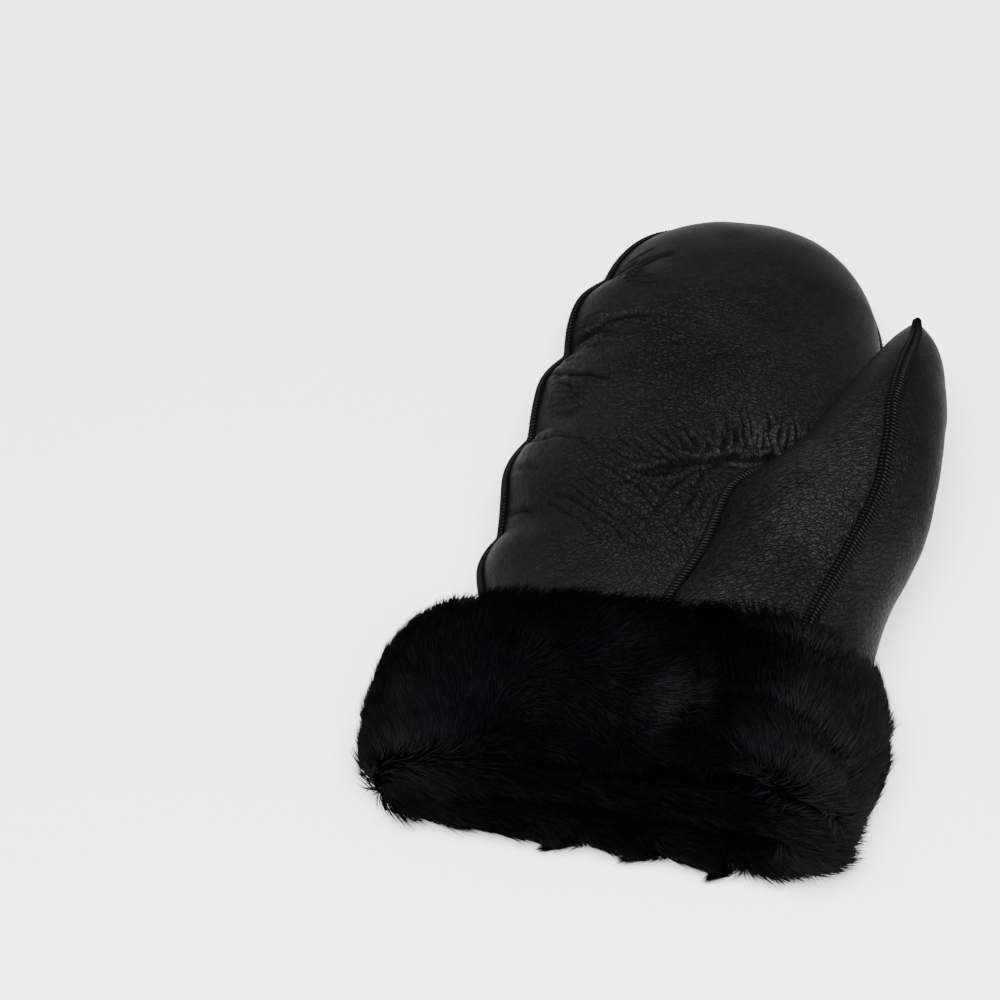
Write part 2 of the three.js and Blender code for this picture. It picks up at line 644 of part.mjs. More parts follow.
const handOuter = handSolid(0, HAND_RINGS, HAND_SIDES);
const thumbOuter = thumbSolid(0, THUMB_RINGS, THUMB_SIDES);
const handClear = handSolid(-GAP, HAND_RINGS, HAND_SIDES);
const thumbClear = thumbSolid(-GAP, THUMB_RINGS, THUMB_SIDES);
const handHollow = handSolid(SHEARLING, LINING_RINGS, LINING_SIDES);
const hollow = handHollow.add(thumbSolid(SHEARLING, LINING_RINGS, LINING_SIDES));
const bodies = handClear.add(thumbClear);

const handShell = handOuter.subtract(hollow).intersect(wristSide(1));
const thumbShell = thumbOuter.subtract(hollow).subtract(handClear).intersect(wristSide(1));
const handBack = handShell.intersect(rimSide(-1));
const band = handOuter.add(thumbOuter).subtract(hollow).intersect(wristSide(-1));

const seamLine = (points, steps) => bead(points, false, steps).subtract(bodies);
const palmMeeting = meetingPath(2.4 * WELT, THUMB_LENGTH * 0.57, Math.PI / 2, Math.PI, 22);
const backMeeting = meetingPath(
  wristLine(HALF_WIDTH, 0) + 2.4 * WELT, THUMB_LENGTH * 0.52, -Math.PI * 0.2, -Math.PI * 0.62, 16);

const pieces = [
  mesh('palm_panel', handShell.intersect(rimSide(1)), leather),
  mesh('back_panel_little_finger', handBack.intersect(backSide(-1)), leather),
  mesh('back_panel_index', handBack.intersect(backSide(1)), leather),
  mesh('thumb_palm_panel', thumbShell.intersect(thumbSide(1)), leather),
  mesh('thumb_outer_panel', thumbShell.intersect(thumbSide(-1)), leather),
  mesh('wrist_band', band, leather),
  mesh('rim_seam', seamLine(rimPath(), 42), seamLeather),
  mesh('back_seam', seamLine(backSeamPath(), 20), seamLeather),
  mesh('palm_thumb_seam', seamLine(palmMeeting, 24), seamLeather),
  mesh('back_thumb_seam', seamLine(backMeeting, 18), seamLeather),
  mesh('thumb_seam', seamLine(thumbSeamPath(), 30), seamLeather),
  mesh('wrist_seam', bead(wristPath(), true, 44).subtract(bodies), seamLeather),
  mesh('fur_cuff', cuffSolid(bodies.add(bead(wristPath(), true, 44, WELT + GAP))), fur),
];

const mitten = new THREE.Group();
mitten.add(...pieces);
// The origin is on the surface that the mitten lies on, under the middle of its outline.
const box = new THREE.Box3().setFromObject(mitten);
mitten.position.set(-(box.min.x + box.max.x) / 2, -(box.min.y + box.max.y) / 2, -box.min.z);

export default mitten;
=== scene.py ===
import math

import bpy
import numpy as np
from mathutils import Euler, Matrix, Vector


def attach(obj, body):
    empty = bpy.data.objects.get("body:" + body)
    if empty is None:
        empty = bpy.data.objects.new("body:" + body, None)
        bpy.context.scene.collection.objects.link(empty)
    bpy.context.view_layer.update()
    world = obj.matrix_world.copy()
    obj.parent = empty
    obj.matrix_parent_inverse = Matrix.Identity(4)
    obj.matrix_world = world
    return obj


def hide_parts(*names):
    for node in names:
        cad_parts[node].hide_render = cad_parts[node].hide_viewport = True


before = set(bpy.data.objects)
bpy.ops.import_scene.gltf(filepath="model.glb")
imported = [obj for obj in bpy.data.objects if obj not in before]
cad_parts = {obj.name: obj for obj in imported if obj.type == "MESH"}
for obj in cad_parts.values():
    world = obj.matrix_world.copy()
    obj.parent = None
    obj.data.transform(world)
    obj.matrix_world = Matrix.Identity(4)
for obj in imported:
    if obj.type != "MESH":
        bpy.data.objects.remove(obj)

bl_info = {
    "name": "Leather mitten",
    "version": (1, 0, 0),
    "blender": (4, 5, 0),
    "location": "View3D > Sidebar > Mitten",
    "description": "Builds a shearling leather mitten with raised seams and a turned-back fur cuff",
    "category": "Add Mesh",
}

# The pattern's own coordinates are millimetres: x across the hand towards the thumb, y from the wrist seam
# to the fingertips, z up. CENTRE is the middle of the mitten's outline there, which is the model's origin.
CENTRE = (-0.666, 79.314, 0.0)
MM = 0.001

# Hand: share of the length, reach to the little finger, reach to the index finger, lowest level, palm
# level.
HAND = np.array([
    (-0.16, 0.92, 0.90, 0.070, 1.00),
    (0.00, 0.93, 0.93, 0.055, 1.05),
    (0.22, 0.95, 0.98, 0.040, 1.05),
    (0.45, 0.94, 0.96, 0.040, 0.99),
    (0.63, 0.87, 0.99, 0.055, 0.95),
    (1.00, 0.80, 0.96, 0.100, 0.92),
])

# Thumb: share of the length, axis, width, height, level, turn of its seam in degrees.
THUMB = np.array([
    (-0.22, 0.415, 2.21, 1.40, 0.660, 64),
    (0.02, 0.492, 2.15, 1.47, 0.710, 62),
    (0.20, 0.600, 1.91, 1.50, 0.735, 58),
    (0.40, 0.722, 1.88, 1.48, 0.800, 60),
    (0.52, 0.868, 1.42, 1.22, 0.940, 72),
    (0.62, 0.933, 1.17, 1.04, 1.020, 82),
    (0.76, 0.982, 0.95, 0.94, 1.020, 86),
    (0.89, 1.014, 0.82, 0.90, 0.990, 87),
    (1.00, 1.005, 0.56, 0.84, 0.960, 90),
])

# Cuff: share of its length (negative towards the mouth), reach to each side, lowest level, highest level.
CUFF = np.array([
    (-1.10, 0.90, 0.80, 0.050, 0.56),
    (-0.97, 0.95, 0.86, 0.000, 0.68),
    (-0.77, 0.99, 0.91, -0.025, 0.84),
    (-0.50, 0.99, 0.96, -0.030, 0.94),
    (-0.25, 0.95, 0.96, -0.025, 0.95),
    (-0.05, 0.85, 0.93, 0.000, 0.90),
    (0.13, 0.74, 0.87, 0.040, 0.84),
])

# Where the rim seam pulls the little-finger edge in, shares of the hand's length.
PUCKERS = np.array([0.04, 0.2, 0.42, 0.62, 0.805, 1.02])

# Deep folds of the palm: from (across, along) to (across, along), depth and breadth as shares of the wall.
FOLDS = [
    (0.76, 0.43, -0.20, 0.305, 0.85, 1.5),
    (-0.84, 0.80, -0.50, 0.820, 0.60, 1.1),
    (-0.94, 0.62, -0.50, 0.650, 0.70, 1.2),
    (-0.98, 0.42, -0.60, 0.440, 0.50, 1.2),
]

# Raised seam down the back: along and across as shares.
BACK_SEAM = np.array([(-0.2, 0.02), (0.1, -0.02), (0.4, -0.11), (0.7, -0.23), (1.1, -0.38)])

# Creases of the palm in the pattern's millimetres: start, end, sideways bow, depth, half width, raised
# shoulder.
CREASES = [
    (50, 89, 31, 87, 0.5, 3.6, 1.3, 0.1),
    (34, 88, 17, 80, 0.8, 3.6, 1.4, 0.1),
    (20, 82, 4, 73, 0.5, 3.4, 1.4, 0.1),
    (8, 75, -8, 68, -0.6, 3.4, 1.6, 0.1),
    (-2, 70, -17, 65, 0.5, 2.0, 1.3, 0.2),
    (4, 71, -13, 63, 0.8, 1.2, 1.6, 0.5),
    (43, 84, 26, 84, 0.4, 1.3, 0.9, 0.6),
    (38, 81, 15, 75, 1.2, 1.6, 1.0, 0.6),
    (15, 76, 5, 68, 0.6, 1.2, 1.0, 0.6),
    (4, 75, -6, 77, 0.6, 1.1, 0.9, 0.6),
    (2, 72, -10, 73, -0.6, 1.2, 1.0, 0.6),
    (2, 68, -10, 63, 0.6, 1.2, 1.0, 0.6),
    (-2, 73, -5, 63, 0.5, 1.0, 1.0, 0.5),
    (6, 68, 0, 58, -0.8, 1.1, 1.0, 0.5),
    (9, 71, 8, 59, 0.8, 1.0, 1.0, 0.5),
    (-62, 146, -42, 147, -2.0, 3.6, 2.2, 0.25),
    (-46, 146, -24, 149, 1.6, 1.6, 1.6, 0.2),
    (-57, 150, -46, 151, -0.8, 1.8, 1.1, 0.4),
    (-52, 143, -36, 141, 0.8, 1.4, 1.1, 0.4),
    (-50, 181, -36, 177, -1.2, 2.6, 2.0, 0.2),
    (-38, 177, -20, 186, 1.6, 1.0, 1.6, 0.15),
    (-61, 126, -49, 119, -0.6, 1.4, 1.1, 0.3),
    (-50, 119, -33, 112, 0.6, 1.3, 1.0, 0.3),
    (-60, 133, -47, 127, -0.6, 0.9, 1.2, 0.3),
    (-63, 93, -48, 84, -1.2, 2.4, 2.0, 0.4),
    (-50, 85, -34, 78, 0.8, 0.9, 1.2, 0.4),
    (-63, 100, -48, 92, -0.6, 0.7, 1.3, 0.3),
    (-66, 77, -51, 68, -0.8, 1.0, 1.4, 0.3),
    (-63, 56, -47, 47, -0.8, 0.9, 1.4, 0.3),
    (-28, 68, 2, 45, 1.0, 0.9, 0.9, 0.5),
    (-24, 69, -4, 56, -0.8, 0.8, 0.8, 0.5),
    (-42, 55, -8, 28, 1.2, 0.9, 0.9, 0.5),
    (-38, 58, -14, 40, -0.8, 0.7, 0.8, 0.5),
    (-34, 62, -2, 38, 0.6, 0.8, 0.8, 0.5),
    (-44, 50, -20, 30, 0.5, 0.7, 0.8, 0.5),
    (8, 64, 2, 40, 1.5, 1.0, 1.2, 0.6),
    (4, 66, -4, 46, -1.5, 0.9, 1.1, 0.6),
    (14, 62, 8, 44, 1.0, 0.8, 1.0, 0.6),
]

# Fans of short wrinkles: root line from and to, count, heading in degrees at each end, length, depth, half
# width.
FANS = [
    (50, 91, 34, 90, 13, 94, 88, 17, 1.0, 0.70),
    (34, 90, 18, 83, 14, 86, 98, 18, 1.1, 0.72),
    (18, 83, 2, 76, 14, 96, 120, 18, 1.1, 0.75),
    (2, 76, -14, 68, 12, 118, 152, 17, 1.0, 0.80),
    (30, 86, 4, 75, 12, 40, 62, 9, 0.7, 0.75),
    (8, 70, -14, 66, 9, -60, -130, 11, 0.9, 0.85),
    (-2, 68, -24, 66, 8, -100, -70, 14, 0.55, 0.75),
    (-20, 66, 6, 34, 12, -38, -48, 15, 0.60, 0.65),
    (-38, 66, -6, 30, 11, -36, -50, 16, 0.50, 0.65),
    (20, 56, 4, 20, 10, 165, 200, 9, 0.4, 0.65),
    (-48, 184, -38, 168, 9, 25, 0, 17, 0.7, 0.8),
    (-58, 152, -48, 134, 11, 15, -10, 18, 0.8, 0.8),
    (-58, 122, -55, 98, 10, -25, -5, 15, 0.7, 0.8),
]

# Tufts that stand out from the cuff's lower edge: their root and their tip.
TUFTS = [
    ((37, -63.9, 9), (33.4, -68.5, 1.5)),
    ((-19.3, -60.7, 8), (-27.6, -66.3, 2)),
    ((8, -62.0, 8), (2.0, -66.0, 2)),
]

# Stitches of a seam: slant in stitch pitches, stretch of the welt's section, segments and thickness in
# threads.
ONE_ROW = [(1.3, (0.03, 0.97), 4, 1.0)]
THREE_ROWS = [(0.7, (0.0, 0.38), 2, 0.85), (-0.9, (0.40, 0.78), 2, 1.3), (0.7, (0.80, 1.0), 2, 0.8)]

# Stretches of fur: name, from and to along the pile, quarter turns round the cuff from and to, number of
# locks.
FUR_PATCHES = [
    ("palm_thumb", 0.0, 0.62, 0, 1, 21500),
    ("palm_little", 0.0, 0.62, 1, 2, 20500),
    ("back", 0.0, 0.62, 2, 4, 22500),
    ("lip", 0.6, 0.95, 0, 4, 25500),
]

# Share of a section's height at which it is widest, and the exponents of its upper and lower half.
WIDEST = 0.38
HAND_POWERS, THUMB_POWERS, CUFF_POWERS, MOUTH_POWERS = (2.3, 3.0), (2.1, 2.1), (2.5, 3.4), (2.5, 2.5)
HAND_TIP_POWER, THUMB_TIP_POWER = 2.25, 1.65

# In the pattern's millimetres: spacing of the leather's grid, distance at which points are joined, depth
# of the pile's skin under the tips of the fur, and how much further the fur's edge runs up beside the
# thumb.
GRID_STEP = 0.8
WELD = 0.02
PILE_INSET = 3.0
FUR_THUMB_RISE = 2

# Share of the wall that shows at an open edge, how crackled plain leather is and how strong its painted sheen
# is.
LINED_WALL = 0.75
PLAIN_CRINKLE, PLAIN_SHEEN = 0.4, 0.72

# Lowest level of stitches, pile and locks, so that none goes through the floor.
STITCH_FLOOR, PILE_FLOOR, LOCK_FLOOR = 0.05, 0.6, 0.35

SEAM_STATIONS = 160

# Camera: width of its film in millimetres, and its focal length and picture in pixels.
SENSOR, FOCAL_PIXELS, PICTURE_PIXELS = 36, 2970, 1000


def smooth(v):
    """Eases a share: three times its square less twice its cube, level at 0 and at 1."""
    return v * v * (3 - 2 * v)


def clamped(v):
    """Values held between 0 and 1."""
    return np.clip(v, 0, 1)


def ease(v):
    """0 up to 0, 1 from 1 on, and smooth between."""
    return smooth(clamped(v))


def column(rows, key, along):
    """Value of one column of a table at places along it: a cubic between two rows whose slopes at the rows
    are the slopes of the chords between their neighbours."""
    along = np.asarray(along, float)
    x, v = rows[:, 0], rows[:, key]
    i = np.clip(np.searchsorted(x, along) - 1, 0, len(x) - 2)
    before, after = np.maximum(i - 1, 0), np.minimum(i + 2, len(x) - 1)
    span = x[i + 1] - x[i]
    t = clamped((along - x[i]) / span)
    start = (v[i + 1] - v[before]) / (x[i + 1] - x[before]) * span
    end = (v[after] - v[i]) / (x[after] - x[i]) * span
    return ((2 * t**3 - 3 * t**2 + 1) * v[i] + (t**3 - 2 * t**2 + t) * start
            + (3 * t**2 - 2 * t**3) * v[i + 1] + (t**3 - t**2) * end)


def noise(points, size, seed=0):
    """Smooth noise from -1 to 1: values fixed at the corners of cubes of one size and eased between
    them."""
    q = np.asarray(points, float) / size + 1000.0
    cell = np.floor(q).astype(np.int64)
    t = smooth(q - cell)
    total = 0.0
    for corner in np.ndindex(2, 2, 2):
        k = cell + np.array(corner)
        h = (k[..., 0] * 73856093) ^ (k[..., 1] * 19349663) ^ (k[..., 2] * 83492791) ^ (seed * 2654435761)
        h = (h ^ (h >> 13)) * 1274126177 & 0x7FFFFFFF
        value = ((h ^ (h >> 16)) & 0xFFFF) / 32767.5 - 1
        weight = np.prod([t[..., a] if corner[a] else 1 - t[..., a] for a in range(3)], axis=0)
        total = total + weight * value
    return total


def unit(v):
    """Vectors brought to length 1."""
    return v / np.maximum(np.linalg.norm(v, axis=-1, keepdims=True), 1e-9)


class Pattern:
    """The mitten's shape as functions of its sizes, in the pattern's millimetres."""

    def __init__(self, sizes):
        for name in sizes.__annotations__:
            setattr(self, name, getattr(sizes, name) / MM)
        self.half = self.hand_width / 2
        self.wrist_centre = (10.0, self.hand_height * 0.55)

    def tip_share(self, y, tip, length, power):
        """Share of a section left where a tube rounds off: the quarter of a superellipse."""
        s = clamped((y - (tip - length)) / length)
        return (1 - s**power) ** (1 / power)

    def puff(self, y):
        """Swell of the little-finger edge between two puckers: a sine that leans towards the fingertips."""
        along = y / self.hand_length
        i = np.clip(np.searchsorted(PUCKERS, along, side="right"), 1, len(PUCKERS) - 1)
        t = clamped((along - PUCKERS[i - 1]) / (PUCKERS[i] - PUCKERS[i - 1]))
        return self.puff_depth * np.sin(math.pi * t**1.5) ** 0.8

    def fold(self, x, y):
        """Depth of the palm's deep folds: grooves with a bell-shaped section that fade towards their far
        end."""
        depth = np.zeros(np.broadcast(x, y).shape)
        for ax, ay, bx, by, deep, broad in FOLDS:
            a = np.array([ax * self.half, ay * self.hand_length])
            w = np.array([bx * self.half, by * self.hand_length]) - a
            t = clamped(((x - a[0]) * w[0] + (y - a[1]) * w[1]) / (w @ w))
            off = np.hypot(x - a[0] - t * w[0], y - a[1] - t * w[1])
            depth = depth + deep * self.wall * (1 - smooth(t)) * np.exp(-((off / (broad * self.wall)) ** 2))
        return depth

    def hand(self, y):
        """Section of the hand: its middle, its reach to the side, up and down, and two exponents."""
        along = y / self.hand_length
        left = column(HAND, 1, along) * self.half + self.puff(y)
        right = column(HAND, 2, along) * self.half
        under = column(HAND, 3, along) * self.hand_height
        top = column(HAND, 4, along) * self.hand_height
        share = self.tip_share(y, self.hand_length, self.tip_length, HAND_TIP_POWER)
        level = under + (top - under) * WIDEST
        return ((right - left) / 2, level, (right + left) / 2 * share, (top - level) * share,
                (level - under) * share, *HAND_POWERS)

    def thumb(self, y):
        """Section of the thumb, in the same form."""
        along = y / self.thumb_length
        share = self.tip_share(y, self.thumb_length, self.thumb_tip_length, THUMB_TIP_POWER)
        half = column(THUMB, 2, along) * self.thumb_width / 2 * share
        tall = column(THUMB, 3, along) * self.thumb_height / 2 * share
        return (column(THUMB, 1, along) * self.thumb_offset, column(THUMB, 4, along) * self.thumb_level,
                half, tall, tall, *THUMB_POWERS)

    def cuff(self, y):
        """Section of the fur cuff's pile, in the same form."""
        along = y / self.cuff_length
        left, right = (column(CUFF, key, along) * self.cuff_width / 2 for key in (1, 2))
        under, top = (column(CUFF, key, along) * self.cuff_height for key in (3, 4))
        level = under + (top - under) * WIDEST
        return ((right - left) / 2, level, (right + left) / 2 - PILE_INSET, top - level - PILE_INSET,
                level - under - PILE_INSET, *CUFF_POWERS)

    def mouth(self, y):
        """Section of the cuff's opening, which widens from the slit between the fur lips to the lined
        wrist."""
        t = ease((y + self.cuff_length) / (self.cuff_length - self.band_length))
        x, z, half, up, down = self.hand(np.asarray(-self.band_length))[:5]
        mix = lambda a, b: a + (b - a) * t
        tall = mix(self.mouth_height / 2, (up + down) / 2 - self.wall)
        return (mix(0, x), mix(self.mouth_level, z + (up - down) / 2),
                mix(self.mouth_width / 2, half - self.wall), tall, tall, *MOUTH_POWERS)

    def at(self, section, y, angle):
        """Point of a section at an angle from +x towards +z: a superellipse with its own exponent on each
        half."""
        x, z, half, up, down, top_power, under_power = section
        c, n = np.cos(angle), np.sin(angle)
        power = np.where(n >= 0, top_power, under_power)
        bend = lambda v: np.sign(v) * np.abs(v) ** (2 / power)
        reach = np.where(n >= 0, up, down)
        return np.stack(np.broadcast_arrays(x + half * bend(c), y, z + reach * bend(n)), -1)

    def hand_point(self, y, angle):
        """Point of the hand with the palm's deep folds pressed in."""
        p = self.at(self.hand(y), y, angle)
        p[..., 2] -= self.fold(p[..., 0], p[..., 1]) * np.sqrt(np.maximum(np.sin(angle), 0))
        return p

    def thumb_point(self, y, angle):
        """Point of the thumb."""
        return self.at(self.thumb(y), y, angle)

    def inside(self, section, x, z):
        """Distance from a section's middle as a share of the section in that direction: 1 on it, less
        inside."""
        sx, sz, half, up, down, top_power, under_power = section
        power = np.where(z >= sz, top_power, under_power)
        reach = np.maximum(np.where(z >= sz, up, down), 1e-6)
        wide = np.abs((x - sx) / np.maximum(half, 1e-6)) ** power
        return (wide + np.abs((z - sz) / reach) ** power) ** (1 / power)

    def rim_level(self, x, y):
        """Height of the rim seam: lower by the index finger, with a wave between the puckers."""
        across = x / self.half
        wave = np.sin(y / self.hand_length * 9 * math.pi) * 0.035 * clamped(-across)
        along = y / self.hand_length
        shown = ease(-1.6 * across - 0.5) * ease((1.0 - along) * 4)
        corner = 0.9 * np.exp(-(((along - 0.88) / 0.09) ** 2)) * ease(-2 * across)
        return self.hand_height * (0.4 - 0.07 * across + wave) + self.rim_rise * (shown + corner)

    def wrist_line(self, x, z):
        """Place of the wrist seam along y: straight on the palm, higher on the back and by the thumb."""
        back = ease(1 - z / (self.hand_height * 0.6))
        thumbward = ease(x / self.half)
        return back * (self.wrist_rise + self.wrist_thumb_rise * thumbward) - self.wrist_tuck

    def back_seam(self, y):
        """Place of the back seam along x."""
        return column(BACK_SEAM, 1, y / self.hand_length) * self.half

    def thumb_seam(self, y):
        """Angle of the thumb seam in the thumb's section."""
        return np.radians(column(THUMB, 5, y / self.thumb_length))


def bisect(low, high, f, passes=34):
    """Where a function changes sign between two arrays of values, by halving."""
    low, high = np.broadcast_arrays(np.asarray(low, float), np.asarray(high, float))
    low, high = low.copy(), high.copy()
    rising = f(high) > f(low)
    for _ in range(passes):
        mid = (low + high) / 2
        above = (f(mid) > 0) == rising
        high = np.where(above, mid, high)
        low = np.where(above, low, mid)
    return (low + high) / 2


def even_grid(point, ys, low, high, columns, dense=480):
    """Points on a tube: for each y, angles from low to high chosen so that steps along the section are
    even."""
    ys = np.asarray(ys, float)
    share = np.linspace(0, 1, dense)
    angles = low[:, None] + (high - low)[:, None] * share
    path = point(ys[:, None], angles)
    step = np.linalg.norm(np.diff(path, axis=1), axis=2) + 1e-6
    length = np.concatenate([np.zeros((len(ys), 1)), np.cumsum(step, axis=1)], axis=1)
    length /= length[:, -1:]
    want = np.linspace(0, 1, columns)
    picked = np.stack([np.interp(want, row, turn) for row, turn in zip(length, angles)])
    return point(ys[:, None], picked)


def grid_normals(p):
    """Unit normals of a grid of points: the cross product of its two central differences, outwards on a
    tube whose rows go up and whose columns turn from +x to +z. Small rows close a tip, so none of their
    normals points back."""
    normal = unit(np.cross(np.gradient(p, axis=0), np.gradient(p, axis=1)))
    small = np.ptp(p, axis=1).max(axis=1) < 30
    normal[small[:, None] & (normal[..., 1] < 0.1)] = (0, 1, 0)
    return normal


def stroke(x, y, row):
    """Height of one crease: a groove of bell-shaped section along a bowed line, with a raised shoulder on
    each side and ends that fade."""
    ax, ay, bx, by, bow, depth, width, shoulder = row
    w = np.array([bx - ax, by - ay], float)
    long = np.hypot(*w)
    along = ((x - ax) * w[0] + (y - ay) * w[1]) / long**2
    t = clamped(along)
    off = ((y - ay) * w[0] - (x - ax) * w[1]) / long - bow * 4 * t * (1 - t)
    past = (along - t) * long
    d = np.hypot(off, past) / width
    fade = np.sqrt(clamped(np.sin(math.pi * clamped(0.12 + 0.88 * t))))
    return depth * fade * (shoulder * 0.6 * np.exp(-((d - 1.9) ** 2)) - np.exp(-(d**2)))


def fan_strokes(row, seed):
    """Rows of strokes that start along a line and turn from one heading to another, each of its own
    length."""
    ax, ay, bx, by, count, h0, h1, length, depth, width = row
    rng = np.random.default_rng(seed)
    t = (np.arange(count) + rng.uniform(0.2, 0.8, count)) / count
    heading = np.radians(h0 + (h1 - h0) * t + rng.uniform(-12, 12, count))
    long = length * rng.uniform(0.35, 1.15, count)
    x, y = ax + (bx - ax) * t, ay + (by - ay) * t
    start = rng.uniform(0, 0.25, count) * long
    return np.stack([x + np.cos(heading) * start, y + np.sin(heading) * start,
                     x + np.cos(heading) * long, y + np.sin(heading) * long,
                     rng.uniform(-1.4, 1.4, count), depth * rng.uniform(0.6, 1.2, count),
                     width * rng.uniform(0.8, 1.2, count), np.full(count, 0.7)], -1)


def palm_relief(p):
    """Height of the palm's creases and wrinkles over the smooth palm, plus a soft unevenness."""
    x, y = p[..., 0], p[..., 1]
    height = noise(p, 26, 3) * 0.45 + noise(p, 11, 4) * 0.2
    x = x + noise(p, 6, 51) * 0.9 + noise(p, 2.4, 52) * 0.3
    y = y + noise(p, 6, 53) * 0.9 + noise(p, 2.4, 54) * 0.3
    uneven = 0.85 + 0.5 * noise(p, 5, 55)
    rows = list(CREASES)
    for i, fan in enumerate(FANS):
        rows += list(fan_strokes(fan, 11 + i))
    for row in rows:
        height = height + stroke(x, y, row) * uneven
    up = ease((p[..., 2] - 27 + 0.1 * p[..., 0]) / 9)
    return height * up + (1 - up) * noise(p, 20, 3) * 0.3


def thumb_relief(p):
    """Height of the thumb's wrinkles: short waves across it that lean on its seam, and a soft
    unevenness."""
    wave = np.sin(noise(p, 10, 14) * 3.2 + p[..., 1] * 2 * math.pi / 3.2 - p[..., 0] * 0.8)
    at_base = ease(1.15 - p[..., 1] / 95)
    patch = clamped(noise(p, 12, 15) * 1.4 + 0.35)
    return noise(p, 24, 7) * 0.45 + noise(p, 8, 8) * 0.18 + wave * patch * at_base * 0.08


def palm_crinkle(p):
    """How crackled the palm's grain is: most beside the thumb's seam and under the crease, least at the
    tip."""
    worn = spots(p, 0.38, (0.36, 10, 50, 26), (0.28, -18, 50, 26), (0.5, -14, 125, 32))
    calmer = ease((p[..., 1] - 150) / 50)
    return clamped(worn + 0.2 * noise(p, 18, 16) - 0.25 * calmer)


def thumb_crinkle(p):
    """How crackled the thumb's grain is: most at its base, little at its tip."""
    return clamped(0.7 - 0.45 * ease((p[..., 1] - 50) / 70) + 0.2 * noise(p, 15, 17))


def spots(p, total, *rows):
    """A level with bell-shaped spots added, each given by its height, its place and its radius: e to the
    power of minus the square of the distance over the square of the radius."""
    for share, x, y, radius in rows:
        total = total + share * np.exp(-(((p[..., 0] - x) ** 2 + (p[..., 1] - y) ** 2) / radius**2))
    return total


def palm_polish(p):
    """How strongly the palm's sheen is painted, as painted highlight and painted shade: stronger over the
    crease and towards the tip, weaker low by the little finger, beside the thumb and in the crease."""
    shine = spots(p, 0.77, (0.26, 22, 98, 20), (0.2, 10, 215, 50), (-0.35, -56, 38, 34), (-0.4, -2, 72, 9),
                  (-0.5, 40, 86, 5))
    return clamped(shine + 0.12 * noise(p, 15, 61))


def thumb_polish(p):
    """How strongly the thumb's sheen is painted, as painted highlight and painted shade: stronger on its
    ball, weaker on its outer side, by the palm near its base and at its tip.
    """
    outer = ease((p[..., 0] - 66) / 14) * ease((p[..., 1] - 40) / 30)
    shine = spots(p, 0.72, (0.3, 58, 50, 26), (-0.35, 32, 48, 15), (-0.25, 72, 150, 26))
    return clamped(shine - 0.36 * outer + 0.12 * noise(p, 12, 62))


def leather_noise(p):
    """Soft unevenness of stretched leather, in two sizes."""
    return noise(p, 24, 7) * 0.45 + noise(p, 9, 8) * 0.16


def grid_faces(rows, columns):
    """Quads of a grid of points stored row by row."""
    i = np.arange((rows - 1) * (columns - 1))
    a = i // (columns - 1) * columns + i % (columns - 1)
    return np.stack([a, a + 1, a + columns + 1, a + columns], -1)


def make(name, points, faces, material, layers=None, weld=0.0, inner=None, second=None):
    """A mesh object from arrays of points in the pattern's millimetres and faces. second is the material
    of the faces that inner marks, and weld joins points closer than that."""
    mesh = bpy.data.meshes.new(name)
    place = (np.asarray(points, float).reshape(-1, 3) - CENTRE) * MM
    faces = np.asarray(faces)
    used, index = np.unique(faces, return_inverse=True)
    index = index.reshape(faces.shape)
    mesh.vertices.add(len(used))
    mesh.vertices.foreach_set("co", place[used].astype(np.float32).ravel())
    count, sides = index.shape
    mesh.loops.add(count * sides)
    mesh.loops.foreach_set("vertex_index", index.astype(np.int32).ravel())
    mesh.polygons.add(count)
    mesh.polygons.foreach_set("loop_start", (np.arange(count) * sides).astype(np.int32))
    mesh.update(calc_edges=True)
    for key, values in (layers or {}).items():
        layer = mesh.attributes.new(key, "FLOAT", "POINT")
        layer.data.foreach_set("value", np.asarray(values, np.float32).ravel()[used])
    mesh.materials.append(material)
    if second:
        mesh.materials.append(second)
        mesh.polygons.foreach_set("material_index", np.asarray(inner, np.int32))
    mesh.validate()
    mesh.polygons.foreach_set("use_smooth", np.full(len(mesh.polygons), True))
    obj = bpy.data.objects.new(name, mesh)
    bpy.context.scene.collection.objects.link(obj)
    if weld:
        mod = obj.modifiers.new("Weld", "WELD")
        mod.merge_threshold = weld * MM
    return obj


def keep(obj, slot, *nodes):
    """Ties a piece to the frame's body and hides the nodes that it stands for. slot, its finish, is not used.
    """
    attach(obj, "root")
    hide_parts(*nodes)


def tip_stations(start, tip, length, step):
    """Places along a tube, evenly spaced and then eased by a sine over its rounded tip."""
    straight = np.arange(start, tip - length, step)
    count = int(length * 1.3 / step)
    return np.concatenate([straight, tip - length + length * np.sin(np.linspace(0, math.pi / 2, count))])


